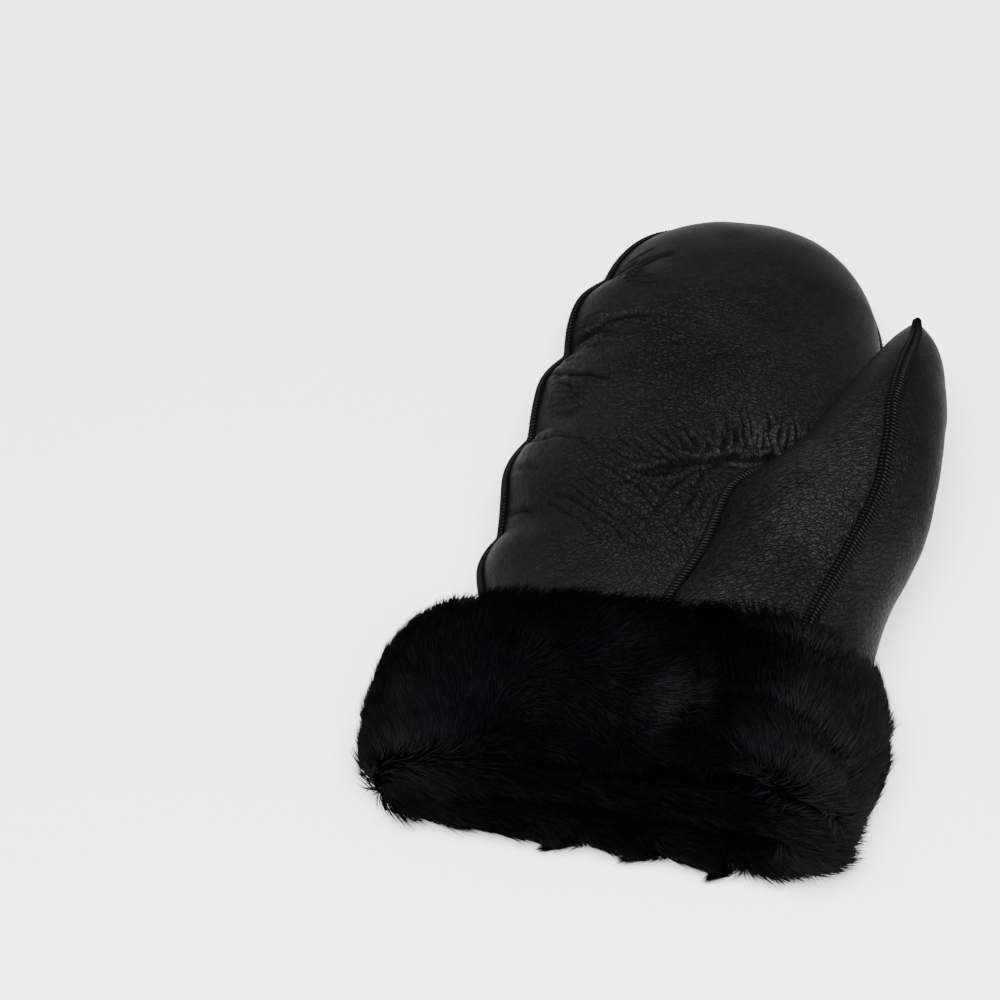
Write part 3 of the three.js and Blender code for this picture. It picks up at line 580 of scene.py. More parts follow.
def sheet_mesh(base, height, hidden, wall, stretch=1.0, lean=0.0, crinkle=None, polish=None, coarse=3):
    """A leather panel from a grid on its tube: the skin is pushed along the grid's normals by its relief,
    its open edges turn in by the wall, and a coarser sheet of wool closes the inside. Cells that lie
    inside the neighbouring tube or beyond the wrist seam are left out. Returns points, triangles, which of
    them are wool, and the layers."""
    normal = grid_normals(base)
    skin = base + normal * height[..., None]
    rows, columns = base.shape[:2]
    out = hidden(base)
    quads = grid_faces(rows, columns)
    quads = quads[~out.ravel()[quads].all(axis=1)]
    edges = np.concatenate([quads[:, [i, (i + 1) % 4]] for i in range(4)])
    key = np.sort(edges, axis=1)
    flat = base.reshape(-1, 3)
    place = np.round(flat / 0.05).astype(np.int64)
    same = np.unique(place, axis=0, return_inverse=True)[1].ravel()
    pair = np.sort(same[key], axis=1)
    code = pair[:, 0] * (same.max() + 1) + pair[:, 1]
    _, first, counts = np.unique(code, return_index=True, return_counts=True)
    rim = edges[first[(counts == 1)]]
    rim = rim[same[rim[:, 0]] != same[rim[:, 1]]]
    turned = (skin - normal * wall).reshape(-1, 3)
    ends, index = np.unique(rim, return_inverse=True)
    index = index.reshape(rim.shape) + flat.shape[0]
    strip = np.stack([rim[:, 1], rim[:, 0], index[:, 0], index[:, 1]], -1)
    pick_r = np.unique(np.append(np.arange(0, rows, coarse), rows - 1))
    pick_c = np.unique(np.append(np.arange(0, columns, coarse), columns - 1))
    wool = (base - normal * wall)[np.ix_(pick_r, pick_c)]
    inner = grid_faces(*wool.shape[:2])
    kept = ~out[np.ix_(pick_r, pick_c)].ravel()[inner].all(axis=1)
    start = flat.shape[0] + len(ends)
    points = np.concatenate([skin.reshape(-1, 3), turned[ends], wool.reshape(-1, 3)])
    faces = np.concatenate([triangles(quads), triangles(strip), triangles(inner[kept][:, ::-1] + start)])
    is_wool = np.repeat([0, 1, 1], [2 * len(quads), 2 * len(strip), 2 * kept.sum()])
    steps = np.linalg.norm(np.diff(base, axis=1), axis=2)
    across = np.concatenate([np.zeros((rows, 1)), np.cumsum(steps, axis=1)], 1)
    across = across - across[:, columns // 2:columns // 2 + 1]
    fill = lambda v: np.concatenate([np.ravel(v), np.zeros(len(points) - flat.shape[0])])
    worn = crinkle(base) if crinkle else np.full(base.shape[:2], PLAIN_CRINKLE)
    # The painted sheen layer: painted highlight where it is high, painted shade where it is low.
    shine = polish(base) if polish else np.full(base.shape[:2], PLAIN_SHEEN)
    layers = {"grain_across": fill(across * stretch * MM),
              "grain_along": fill((base[..., 1] + across * lean) * MM),
              "relief": fill(height), "crinkle": fill(worn), "polish": fill(shine)}
    return points, faces[:, ::-1], is_wool, layers


def leather_piece(name, node, sheet, materials):
    """A leather panel with its wool, tied to its node."""
    points, faces, wool, layers = sheet
    skin = make(name, points, faces, materials["leather"], layers, WELD, wool, materials["pile"])
    keep(skin, "leather", node)


def leather_panels(s, materials):
    """The palm, the two halves of the back and the two halves of the thumb."""
    turn = rim_turn(s)
    start = -s.wrist_tuck - 4

    def in_thumb(p):
        section = s.thumb(np.minimum(p[..., 1], s.thumb_length))
        return (s.inside(section, p[..., 0], p[..., 2]) < 0.9) & (p[..., 1] < s.thumb_length * 0.62)

    def in_hand(p):
        return s.inside(s.hand(p[..., 1]), p[..., 0], p[..., 2]) < 0.93

    def add(name, node, point, ys, low, high, columns, relief, neighbour, **finish):
        base = even_grid(point, ys, low, high, columns)
        hidden = lambda p: neighbour(p) | (p[..., 1] < s.wrist_line(p[..., 0], p[..., 2]) - 0.5)
        sheet = sheet_mesh(base, relief(base), hidden, s.wall * LINED_WALL, **finish)
        leather_piece(name, node, sheet, materials)

    ys = tip_stations(start, s.hand_length, s.tip_length, GRID_STEP)
    full = ys >= turn
    right = np.where(full, -math.pi / 2, rim_angle(s, ys, -math.pi / 2, math.pi / 2))
    left = np.where(full, math.pi * 1.5, rim_angle(s, ys, math.pi * 1.5, math.pi / 2))
    add("palm", "palm_panel", s.hand_point, ys, right, left, int(165 / GRID_STEP), palm_relief, in_thumb,
        crinkle=palm_crinkle, polish=palm_polish)
    coarse = GRID_STEP * 1.8
    count = int((turn - start) / coarse)
    rows = start + (turn - start) * np.sin(np.linspace(0, 1, count) * math.pi / 2 * 0.999)
    rim_right = rim_angle(s, rows, -math.pi / 2, math.pi / 2)
    rim_left = rim_angle(s, rows, math.pi * 1.5, math.pi / 2) - 2 * math.pi
    seam_at = np.clip(back_seam_angle(s, rows), rim_left, rim_right)
    for side, low, high in (("little_finger", rim_left, seam_at), ("index", seam_at, rim_right)):
        add(f"back_{side}", f"back_panel_{side}", s.hand_point, rows, low, high, int(90 / coarse),
            leather_noise, in_thumb)
    ys = tip_stations(start, s.thumb_length, s.thumb_tip_length, GRID_STEP)
    turn_at = s.thumb_seam(ys)
    for side, low, high in (("palm", turn_at, turn_at + math.pi), ("outer", turn_at - math.pi, turn_at)):
        add(f"thumb_{side}", f"thumb_{side}_panel", s.thumb_point, ys, low, high, int(100 / GRID_STEP),
            thumb_relief, in_hand, stretch=0.8, lean=0.4, crinkle=thumb_crinkle, polish=thumb_polish)


def rim_gap(s, y, angle):
    """Height of a point of the hand above the rim seam."""
    p = s.hand_point(np.asarray(y, float), angle)
    return p[..., 2] - s.rim_level(p[..., 0], p[..., 1])


def rim_turn(s):
    """Place along y where the hand's lowest line rises to the rim seam, which turns there over the
    fingertips."""
    return float(bisect(s.hand_length * 0.8, s.hand_length - 0.4, lambda y: rim_gap(s, y, -math.pi / 2)))


def rim_angle(s, ys, low, high):
    """Angle of the rim seam in the hand's section for each y, by halving between two angles."""
    return bisect(np.full(len(ys), low), np.full(len(ys), high), lambda a: rim_gap(s, ys, a))


def back_seam_angle(s, ys):
    """Angle of the back seam in the hand's section for each y, by halving across the back."""
    off = lambda a: s.hand_point(ys, a)[..., 0] - s.back_seam(ys)
    return bisect(np.full(len(ys), -math.pi + 0.02), np.full(len(ys), -0.02), off)


def root_angle(s, ys, free, buried):
    """Angle in the thumb's section at which it meets the hand for each y, by halving between a free and a
    buried angle. The palm's folds are left out."""
    def gap(a):
        p = s.thumb_point(ys, a)
        z = p[..., 2] + np.where(np.sin(a) > 0, s.fold(p[..., 0], ys), 0)
        return s.inside(s.hand(ys), p[..., 0], z) - 1
    return bisect(np.full(len(ys), free), np.full(len(ys), buried), gap)


def union_reach(s, y, angle, centre):
    """Distance from a centre to the outline of hand and thumb together, in a direction, by halving."""
    def gap(r):
        x, z = centre[0] + r * np.cos(angle), centre[1] + r * np.sin(angle)
        return np.minimum(s.inside(s.hand(y), x, z), s.inside(s.thumb(y), x, z)) - 1
    near = np.zeros(np.broadcast(y, angle).shape)
    return bisect(near, near + 400.0, gap)


def eased(points, passes):
    """A closed path with its corners rounded, each point moved to the mean of itself and its neighbours'
    middle."""
    for _ in range(passes):
        points = points * 0.5 + (np.roll(points, 1, 0) + np.roll(points, -1, 0)) * 0.25
    return points


def wrist_path(s, count=240, proud=0.0, sunk=0.0):
    """Path of the wrist seam round the outline of hand and thumb together, sunk under the fur on the palm
    side."""
    centre = s.wrist_centre
    angle = np.linspace(0, 2 * math.pi, count, endpoint=False)
    y = np.zeros(count)
    for _ in range(3):
        r = union_reach(s, y, angle, centre)
        r = r + proud - sunk * ease((centre[1] + r * np.sin(angle) - 24) / 12)
        p = np.stack([centre[0] + r * np.cos(angle), y, centre[1] + r * np.sin(angle)], -1)
        y = s.wrist_line(p[:, 0], p[:, 2])
        p[:, 1] = y
    return eased(p, 6)


def wrist_band(s, materials):
    """The leather strip from the wrist seam down into the cuff, on the outline of hand and thumb
    together."""
    centre = s.wrist_centre
    angle = np.linspace(0, 2 * math.pi, 361)
    path = wrist_path(s, 360)
    seam = np.concatenate([path, path[:1]])
    rows = []
    for t in np.linspace(0, 1, 24):
        y = seam[:, 1] * (1 - t) - s.band_length * t
        r = union_reach(s, y, angle, centre)
        rows.append(np.stack([centre[0] + r * np.cos(angle), y, centre[1] + r * np.sin(angle)], -1))
    p = np.stack(rows)
    for _ in range(4):
        inner = (np.roll(p[:, :-1], 1, 1) + np.roll(p[:, :-1], -1, 1)) * 0.25 + p[:, :-1] * 0.5
        p = np.concatenate([inner, inner[:, :1]], axis=1)
    p = p[::-1]
    nothing = lambda q: np.zeros(q.shape[:2], bool)
    sheet = sheet_mesh(p, leather_noise(p) * 0.5, nothing, s.wall * LINED_WALL)
    leather_piece("wrist_strip", "wrist_band", sheet, materials)


def resample(path, step, closed=False):
    """Points at even steps along a path."""
    if closed:
        path = np.concatenate([path, path[:1]])
    length = np.concatenate([[0], np.cumsum(np.linalg.norm(np.diff(path, axis=0), axis=1))])
    count = max(3, int(length[-1] / step))
    want = np.linspace(0, length[-1], count + 1)
    out = np.stack([np.interp(want, length, path[:, i]) for i in range(3)], -1)
    return out[:-1] if closed else out


def side_frames(path, centre_of, closed=False):
    """Forward, sideways and outward directions along a path, outward being away from the tube's middle."""
    forward = (np.roll(path, -1, 0) - np.roll(path, 1, 0)) if closed else np.gradient(path, axis=0)
    forward = unit(forward)
    out = path - centre_of
    out = unit(out - (out * forward).sum(-1, keepdims=True) * forward)
    return forward, np.cross(forward, out), out


def ridge(path, frames, half_width, height, closed):
    """A raised welt: a flat-topped bead carried along a path, with closed ends. half_width has one value
    for each point of the path."""
    forward, side, out = frames
    angle = np.linspace(0, 2 * math.pi, 10, endpoint=False)
    w = half_width[:, None] * np.sign(np.cos(angle)) * np.abs(np.cos(angle)) ** 0.8
    h = np.sin(angle) * height
    rings = path[:, None] + side[:, None] * w[..., None] + out[:, None] * h[None, :, None]
    n, m = rings.shape[:2]
    i, j = np.meshgrid(np.arange(n if closed else n - 1), np.arange(m), indexing="ij")
    a, b = i * m + j, i * m + (j + 1) % m
    c, d = ((i + 1) % n) * m + (j + 1) % m, ((i + 1) % n) * m + j
    faces = np.stack([a, b, c, d], -1).reshape(-1, 4)
    points = rings.reshape(-1, 3)
    if not closed:
        caps = []
        for ring, flip in ((0, False), (n - 1, True)):
            middle = len(points)
            points = np.concatenate([points, path[ring:ring + 1]])
            k = np.arange(m)
            tri = np.stack([ring * m + (k + 1) % m, ring * m + k, np.full(m, middle), np.full(m, middle)], -1)
            caps.append(tri[:, [1, 0, 2, 3]] if flip else tri)
        return points, faces, np.concatenate(caps)[:, :3]
    return points, faces, np.zeros((0, 3), int)


def triangles(quads):
    """Two triangles from each quad."""
    return np.concatenate([quads[:, [0, 1, 2]], quads[:, [0, 2, 3]]])


def arcs(path, frames, half_width, height, slant, thread, segments=4, span=(0.0, 1.0)):
    """Overcast stitches: at each point of a path a thin tube that climbs over the welt from one side to
    the other, slanted along the seam."""
    forward, side, out = frames
    t = np.linspace(span[0], span[1], segments + 1)
    turn = math.pi * (1 - t)
    w = np.cos(turn) * (half_width[:, None] + thread * 0.7)
    h = np.sin(turn) * (height + thread * 0.6) - thread * 0.2
    along = (t - 0.5) * slant
    middle = (path[:, None] + side[:, None] * w[..., None] + out[:, None] * h[None, :, None]
              + forward[:, None] * along[None, :, None])
    run = unit(np.gradient(middle, axis=1))
    up = unit(out[:, None] * np.sin(turn)[None, :, None] + side[:, None] * np.cos(turn)[None, :, None])
    across = unit(np.cross(run, up))
    up = np.cross(across, run)
    k = 4
    ring = np.linspace(0, 2 * math.pi, k, endpoint=False)
    taper = np.where((t <= 0) | (t >= 1), 0.6, 1.0) * thread
    wide, tall = (part(ring)[None, None, :, None] * taper[None, :, None, None] for part in (np.cos, np.sin))
    pts = middle[:, :, None] + across[:, :, None] * wide + up[:, :, None] * tall
    n, m = middle.shape[:2]
    i, s, j = np.meshgrid(np.arange(n), np.arange(m - 1), np.arange(k), indexing="ij")
    base = i * m * k
    a, b = base + s * k + j, base + s * k + (j + 1) % k
    quads = np.stack([a, a + k, b + k, b], -1).reshape(-1, 4)
    first = np.arange(n)[:, None] * m * k
    last = first + (m - 1) * k
    caps = np.concatenate([first + np.array([0, 1, 2, 3]), last + np.array([3, 2, 1, 0])])
    return pts.reshape(-1, 3), np.concatenate([quads, caps])


def seam(s, name, node, path, centre_of, wide, tall, materials, closed=False, rows=ONE_ROW, proud=0.0,
         breadth=lambda p: np.ones(len(p))):
    """One seam: the raised cut edge of the leather and its stitches in one mesh. One row of stitches
    climbs over the edge; three rows lie side by side, the middle one slanted the other way. wide and tall
    are shares of the welt, breadth gives the share of the width at each point, and proud lifts the seam
    off the leather."""
    half_width, height = s.welt * wide, s.welt * tall

    def placed(step):
        p = resample(path, step, closed)
        frames = side_frames(p, centre_of(p), closed)
        return p + frames[2] * proud, frames, half_width * breadth(p)

    fine, frames, width = placed(1.0)
    points, quads, caps = ridge(fine, frames, width, height, closed)
    marks, frames, width = placed(s.stitch_pitch)
    all_points, all_faces = [points], [triangles(quads), caps]
    edge = [np.ones(2 * len(quads) + len(caps), int)]
    for slant, span, pieces, thick in rows:
        p, f = arcs(marks, frames, width, height, s.stitch_pitch * slant, s.thread / 2 * thick, pieces, span)
        all_faces.append(triangles(f) + sum(len(q) for q in all_points))
        all_points.append(p)
        edge.append(np.zeros(2 * len(f), int))
    points = np.concatenate(all_points)
    points[:, 2] = np.maximum(points[:, 2], STITCH_FLOOR)
    # The raised cut edge is in the leather's colour but without sheen, as painted shade between the stitches.
    keep(make(name, points, np.concatenate(all_faces), materials["thread"], inner=np.concatenate(edge),
              second=materials["cut_edge_and_shade"]), "seam_leather", node)


def tube_middle(section, tip):
    """Gives the middle of a tube's section beside each point of a path, held back from the tube's rounded
    tip."""
    def middle(p):
        x, z = section(p[:, 1])[:2]
        return np.stack([x, np.minimum(p[:, 1], tip), z], -1)
    return middle


def seams(s, materials):
    """Rim, back, thumb and wrist seams, each along its own path on the leather."""
    turn = rim_turn(s)
    share = np.sin(np.linspace(0, 1, SEAM_STATIONS) * math.pi / 2)
    stations = lambda start: start + (turn - start) * share
    hand_middle = tube_middle(s.hand, s.hand_length - 40)
    thumb_middle = tube_middle(s.thumb, s.thumb_length - 22)
    both = lambda p: (hand_middle(p) + thumb_middle(p)) / 2

    up = stations(6 + s.wrist_line(-s.half, s.hand_height * 0.45))
    down = stations(s.thumb_length * 0.575)
    left = rim_angle(s, up, math.pi * 1.5, math.pi / 2)
    right = rim_angle(s, down, -math.pi / 2, math.pi / 2)
    path = np.concatenate([s.hand_point(up, left)[:-1], s.hand_point(down, right)[::-1]])
    seam(s, "rim_stitching", "rim_seam", path, hand_middle, 0.8, 0.85, materials)

    ys = stations(s.wrist_line(0, 0) + 5)
    turn_at = back_seam_angle(s, ys)
    path = s.hand_point(ys, turn_at)[rim_gap(s, ys, turn_at) < -0.5]
    seam(s, "back_stitching", "back_seam", path, hand_middle, 0.8, 0.85, materials)

    roots = (("palm", -4, s.thumb_length * 0.57, math.pi / 2, math.pi),
             ("back", s.wrist_line(s.half, 0) + 5, s.thumb_length * 0.52, -0.2 * math.pi, -0.62 * math.pi))
    for side, first, last, free, buried in roots:
        ys = np.linspace(first, last, 60)
        path = s.thumb_point(ys, root_angle(s, ys, free, buried))
        seam(s, f"{side}_thumb_stitching", f"{side}_thumb_seam", path, both, 0.8, 0.8, materials, proud=0.6)

    tip = s.thumb_length - 0.2
    ys = -4 + (tip + 4) * np.sin(np.linspace(0, 1, 90) * math.pi / 2)
    over = tip - (tip - s.thumb_length * 0.86) * (1 - np.cos(np.linspace(0, 1, 20)[1:] * math.pi / 2))
    near, far = s.thumb_point(ys, s.thumb_seam(ys)), s.thumb_point(over, s.thumb_seam(over) + math.pi)
    taper = lambda p: 1 - 0.5 * ease(1 - (s.thumb_length - p[:, 1]) / 40)
    seam(s, "thumb_stitching", "thumb_seam", np.concatenate([near, far]), thumb_middle, 1.25, 0.8, materials,
         rows=THREE_ROWS, breadth=taper)

    x, z = s.wrist_centre
    seam(s, "wrist_stitching", "wrist_seam", wrist_path(s, proud=0.5, sunk=3.0),
         lambda p: p * [0, 1, 0] + [x, 0, z], 0.8, 0.85, materials, closed=True)


def fur_place(s, u, v):
    """Place on the fur's pile. u is the angle round the cuff; v runs from the edge on the leather (0) over
    the outside, round the lip of the mouth (0.6 to 0.8) and up into it (1). Near the edge it stays outside
    the leather: a point inside a tube's section moves out from the section's middle."""
    outer_v = clamped(v / 0.6)
    roll = clamped((v - 0.6) / 0.2)
    inner_v = clamped((v - 0.8) / 0.2)
    y_out = -0.15 - 0.81 * outer_v
    blend = (1 - np.cos(math.pi * roll)) / 2
    y = (y_out - 0.075 * np.sin(math.pi * roll) + 0.5 * inner_v) * s.cuff_length
    outer = s.at(s.cuff(y), y, u)
    for section in (s.hand(y), s.thumb(y)):
        share = s.inside(section, outer[..., 0], outer[..., 2])
        grow = np.where(blend < 0.01, np.clip(1.035 / np.maximum(share, 0.3), 1, 1.5), 1.0)
        outer[..., 0] = section[0] + (outer[..., 0] - section[0]) * grow
        outer[..., 2] = section[1] + (outer[..., 2] - section[1]) * grow
    inner = s.at(s.mouth(y), y, u)
    p = outer * (1 - blend)[..., None] + inner * blend[..., None]
    thumbward = ease(2 * p[..., 0] / s.cuff_width) * ease(1 + 2 * y / s.cuff_length)
    p[..., 1] += FUR_THUMB_RISE * thumbward * (1 - blend)
    return p


def fur_backing(s, materials):
    """Dense pile under the locks: a closed ring from the leather over the outside, round the lip and up
    the mouth, then back under itself."""
    v = np.concatenate([np.linspace(0, 0.6, 22), np.linspace(0.6, 0.8, 10)[1:], np.linspace(0.8, 1, 7)[1:]])
    u = np.linspace(0, 2 * math.pi, 201)
    p = fur_place(s, *np.broadcast_arrays(u[None, :], v[:, None]))
    inner = p[[-1, 0]].mean(axis=0)
    p = p + grid_normals(p) * noise(p, 9, 21)[..., None]
    p[..., 2] = np.maximum(p[..., 2], PILE_FLOOR)
    p = np.concatenate([p, inner[None], p[:1]])
    p[:, -1] = p[:, 0]
    # The pile is the fur's black without sheen, as painted shade deep between the locks.
    pile = make("fur_pile", p, grid_faces(*p.shape[:2]), materials["pile_and_shade"], weld=WELD)
    keep(pile, "fur", "fur_cuff")


def fur_locks(s, name, v_low, v_high, u_low, u_high, count, seed, materials):
    """Locks of fur: bent spikes of three sides rooted evenly over a stretch of the pile, combed along a
    flow and drawn together into tufts by the slope of a smooth noise."""
    rng = np.random.default_rng(seed)
    tries = count * 4
    u = rng.uniform(u_low, u_high, tries)
    v = rng.uniform(v_low, v_high, tries)
    e = 1e-3
    du = (fur_place(s, u + e, v) - fur_place(s, u - e, v)) / (2 * e)
    dv = (fur_place(s, u, v + e) - fur_place(s, u, v - e)) / (2 * e)
    area = np.linalg.norm(np.cross(du, dv), axis=1)
    pick = np.nonzero(rng.uniform(0, np.quantile(area, 0.97), tries) < area)[0][:count]
    u, v, du, dv = u[pick], v[pick], unit(du[pick]), unit(dv[pick])
    p = fur_place(s, u, v)
    normal = unit(np.cross(du, dv))
    flow, lift, length = fur_flow(s, p, v, normal)
    e = 0.6
    step = np.eye(3) * e
    pull = np.stack([noise(p + d, 6, 5) - noise(p - d, 6, 5) for d in step], -1) / (2 * e)
    sway = np.stack([noise(p, 13, 31 + i) for i in range(3)], -1)
    way = unit(flow + sway * 0.4 + rng.normal(0, 0.11, (len(p), 3)))
    way = unit(way - (way * normal).sum(-1, keepdims=True) * normal)
    long = length * rng.uniform(0.65, 1.1, len(p)) * s.fur_length
    side = np.cross(way, normal)
    rise = lift * rng.uniform(0.6, 1.25, len(p))
    bow = rng.normal(0, 0.09, len(p))
    path = []
    for t in (0.0, 0.45, 1.0):
        up = (t - 0.5 * t * t) * rise
        bent = way * t + normal * up[:, None] + side * (bow * t * t)[:, None]
        q = p + bent * long[:, None] + pull * (5.5 * t * t)
        for root, tip in TUFTS:
            near = np.exp(-(np.linalg.norm(p - root, axis=1) / 7.5) ** 4)[:, None] * t ** 1.5
            q = q + (np.array(tip) + rng.normal(0, 1.0, (len(p), 3)) - q) * near
        path.append(q)
    path[0] = path[0] - normal
    path = np.stack(path, axis=1)
    path[..., 2] = np.maximum(path[..., 2], LOCK_FLOOR + 0.25 * rng.uniform(0, 1, len(p))[:, None])
    width = rng.uniform(0.7, 1.25, len(p)) * s.fur_thickness / 2
    ring = np.array([0, 2, 4]) * math.pi / 3
    middle = path[:, 1, None] + (side[:, None] * np.cos(ring)[None, :, None]
                                 + normal[:, None] * np.sin(ring)[None, :, None] * 0.7) * width[:, None, None]
    verts = np.concatenate([path[:, :1], middle, path[:, 2:]], axis=1)
    face = np.array([(0, 2, 1), (0, 3, 2), (0, 1, 3), (1, 2, 4), (2, 3, 4), (3, 1, 4)])
    faces = face[None] + (np.arange(len(p)) * 5)[:, None, None]
    # Painted sheen: locks lighter towards the right of the cuff, a little towards the left, in two patches at
    # the front and in soft noise; each lock's random tone scales it.
    oval = lambda cx, cy, rx, ry: np.exp(-((p[:, 0] - cx) / rx) ** 2 - ((p[:, 1] - cy) / ry) ** 2)
    light = (0.8 * ease((p[:, 0] - 42) / 30) + 0.25 * ease((-p[:, 0] - 40) / 30)
             + 0.55 * oval(10, -41, 9, 7) + 0.25 * oval(-14, -46, 16, 6) + clamped(noise(p, 12, 41)) * 0.2)
    sheen_and_tone = clamped((light + 0.02) * rng.uniform(0.35, 1.2, len(p)))
    layers = {"sheen_and_tone": np.repeat(sheen_and_tone, 5), "rise": np.tile(np.array([0.0, 0.6, 0.6, 0.6, 1.0]), len(p))}
    locks = make(name, verts.reshape(-1, 3), faces.reshape(-1, 3), materials["fur"], layers)
    keep(locks, "fur", "fur_cuff")


def fur_flow(s, p, v, normal):
    """Heading, lift and length of the locks: along the hand at the edge on the leather, parted from those
    that hang over the mouth, fanned out from a whorl near each end, and sideways along the lip."""
    x, y = p[..., 0:1], p[..., 1:2] / s.cuff_length
    edge = ease((y + 0.42) / 0.3)
    hang = ease((-0.45 - y) / 0.2)
    right, left = ease((x - 8) / 40), ease((-x - 22) / 40)
    turn = noise(p * [1, 1, 0.6], 30, 9)[..., None]
    flow = (np.array([0.25, 1.0, 0]) * edge * 1.3 + np.array([0.35, -0.9, -0.5]) * hang
            + np.array([0.5, 0.5, 0]))
    flow = flow + np.array([1.0, 0.2, 0]) * turn * (1 - edge) * 1.1
    flow = unit(flow)
    flow = (flow * (1 - right) + unit(p - [55, -58, 32]) * right * 1.6
            + np.array([0, 1.0, 0]) * right * edge * 0.7)
    flow = flow * (1 - left) + unit(p - [-30, -80, 10]) * left * 1.6
    lip = ease((v - 0.56) / 0.1)[..., None]
    flow = flow * (1 - lip) + np.array([1.0, -0.25, -0.15]) * lip
    flow = unit(flow - (flow * normal).sum(-1, keepdims=True) * normal)
    lift = 0.5 - 0.22 * edge[..., 0]
    under = ease((-normal[:, 2] - 0.2) / 0.5)
    length = (0.85 + 0.15 * edge[..., 0]) * (1 - 0.35 * under) * np.where(v > 0.84, 0.6, 1.0)
    return flow, lift * (1 - 0.85 * under), length


def linear(colour):
    """An sRGB hex colour as linear light."""
    values = [int(colour[i:i + 2], 16) / 255 for i in (1, 3, 5)]
    return tuple(c / 12.92 if c <= 0.04045 else ((c + 0.055) / 1.055) ** 2.4 for c in values)


def node(tree, kind, links=None, **settings):
    """Adds a node of a shader kind. settings are its own properties, or its inputs by name with _ for a
    space; links joins inputs to outputs of other nodes."""
    made = tree.nodes.new("ShaderNode" + kind)
    for key, value in settings.items():
        if hasattr(made, key):
            setattr(made, key, value)
        else:
            made.inputs[key.replace("_", " ")].default_value = value
    for key, source in (links or {}).items():
        tree.links.new(source, made.inputs[key])
    return made


def blank(name):
    """An empty material and its node tree."""
    material = bpy.data.materials.new(name)
    material.use_nodes = True
    material.node_tree.nodes.clear()
    return material, material.node_tree


def grained_leather(colours):
    """Black glove leather: a fine pebbled grain that opens into a crackle where the leather is worked,
    rougher in its creases and with a soft sheen on the ridges between them. Its base colour holds painted
    shade in the creases and a painted highlight on the ridges, and the sheen's strength is painted: weaker
    in the creases and the crackle's grooves, and stronger or weaker from place to place."""
    material, tree = blank("black_grained_leather")
    layers = ("grain_across", "grain_along", "relief", "crinkle", "polish")
    across, along, relief, crinkle, polish = (
        node(tree, "Attribute", attribute_name=layer).outputs["Fac"] for layer in layers)
    # Scales are cells to a metre: crackle about 2.4 mm wide and pebbles about 1 mm. The pores are drawn
    # 0.7 mm wide, several times their real size, because finer ones don't show.
    place = node(tree, "CombineXYZ", {"X": across, "Y": along}).outputs[0]
    wander = node(tree, "TexNoise", {"Vector": place}, Scale=330.0, Detail=2.0)
    moved = node(tree, "VectorMath", {0: wander.outputs["Color"]}, operation="SCALE", Scale=0.0013)
    bent = node(tree, "VectorMath", {0: place, 1: moved.outputs[0]}, operation="ADD").outputs[0]
    crackle = node(tree, "TexVoronoi", {"Vector": bent}, feature="DISTANCE_TO_EDGE", Scale=420.0)
    grain = node(tree, "TexVoronoi", {"Vector": bent}, feature="DISTANCE_TO_EDGE", Scale=1050.0)
    fine = node(tree, "TexNoise", {"Vector": place}, Scale=1500.0, Detail=3.0, Roughness=0.6)
    waves = node(tree, "TexNoise", {"Vector": bent}, Scale=190.0, Detail=3.0, Roughness=0.55)
    lines = node(tree, "MapRange", {"Value": crackle.outputs["Distance"]}, From_Max=0.16).outputs[0]
    cells = node(tree, "MapRange", {"Value": grain.outputs["Distance"]}, From_Max=0.25).outputs[0]
    worked = node(tree, "Math", {0: lines, 1: crinkle}, operation="MULTIPLY").outputs[0]
    rolled = node(tree, "Math", {0: waves.outputs["Fac"], 1: crinkle}, operation="MULTIPLY").outputs[0]
    normal = None
    for height, strength, distance in ((rolled, 0.9, 0.0018), (worked, 0.9, 0.00045), (cells, 0.7, 0.00018),
                                       (fine.outputs["Fac"], 0.35, 0.0002)):
        links = {"Height": height} if normal is None else {"Height": height, "Normal": normal}
        normal = node(tree, "Bump", links, Strength=strength, Distance=distance).outputs[0]
    broad = node(tree, "TexNoise", {"Vector": place}, Scale=30.0, Detail=3.0)
    # Painted highlight and painted shade: the base colour is lighter on the ridges and darker in the creases.
    proud = node(tree, "MapRange", {"Value": relief}, From_Min=-1.2, From_Max=0.9).outputs[0]
    painted_light_tint = node(tree, "Mix", {"Factor": proud}, data_type="RGBA")
    painted_light_tint.inputs[6].default_value = (*linear(colours.leather), 1)
    painted_light_tint.inputs[7].default_value = (*linear(colours.leather_ridge_highlight), 1)
    patch = node(tree, "MapRange", {"Value": broad.outputs["Fac"]}, From_Min=0.3, From_Max=0.7,
                 To_Min=0.06, To_Max=-0.05).outputs[0]
    dull = node(tree, "MapRange", {"Value": proud}, To_Min=0.56, To_Max=0.38).outputs[0]
    rough = node(tree, "Math", {0: dull, 1: patch}, operation="ADD").outputs[0]
    shader = node(tree, "BsdfPrincipled", {"Base Color": painted_light_tint.outputs[2], "Roughness": rough,
                                           "Normal": normal}, Specular_IOR_Level=0.01)
    # Painted shade on the sheen: weaker in the creases and along the crackle's grooves, and scaled by the
    # painted sheen layer.
    crease_shade = node(tree, "MapRange", {"Value": relief}, From_Min=-1.5, From_Max=0.0,
                      To_Min=0.12).outputs[0]
    unlined = node(tree, "Math", {0: worked, 1: crinkle}, operation="SUBTRACT").outputs[0]
    groove_shade = node(tree, "MapRange", {"Value": unlined}, From_Min=-0.9, From_Max=0.0,
                      To_Min=0.3).outputs[0]
    shine = node(tree, "Math", {0: polish, 1: crease_shade}, operation="MULTIPLY").outputs[0]
    shine = node(tree, "Math", {0: shine, 1: groove_shade}, operation="MULTIPLY").outputs[0]
    wax = node(tree, "BsdfAnisotropic", {"Color": shine, "Roughness": rough, "Normal": normal})
    finish = node(tree, "MixShader", {1: shader.outputs[0], 2: wax.outputs[0]})
    finish.inputs[0].default_value = 0.0078
    node(tree, "OutputMaterial", {"Surface": finish.outputs[0]})
    return material


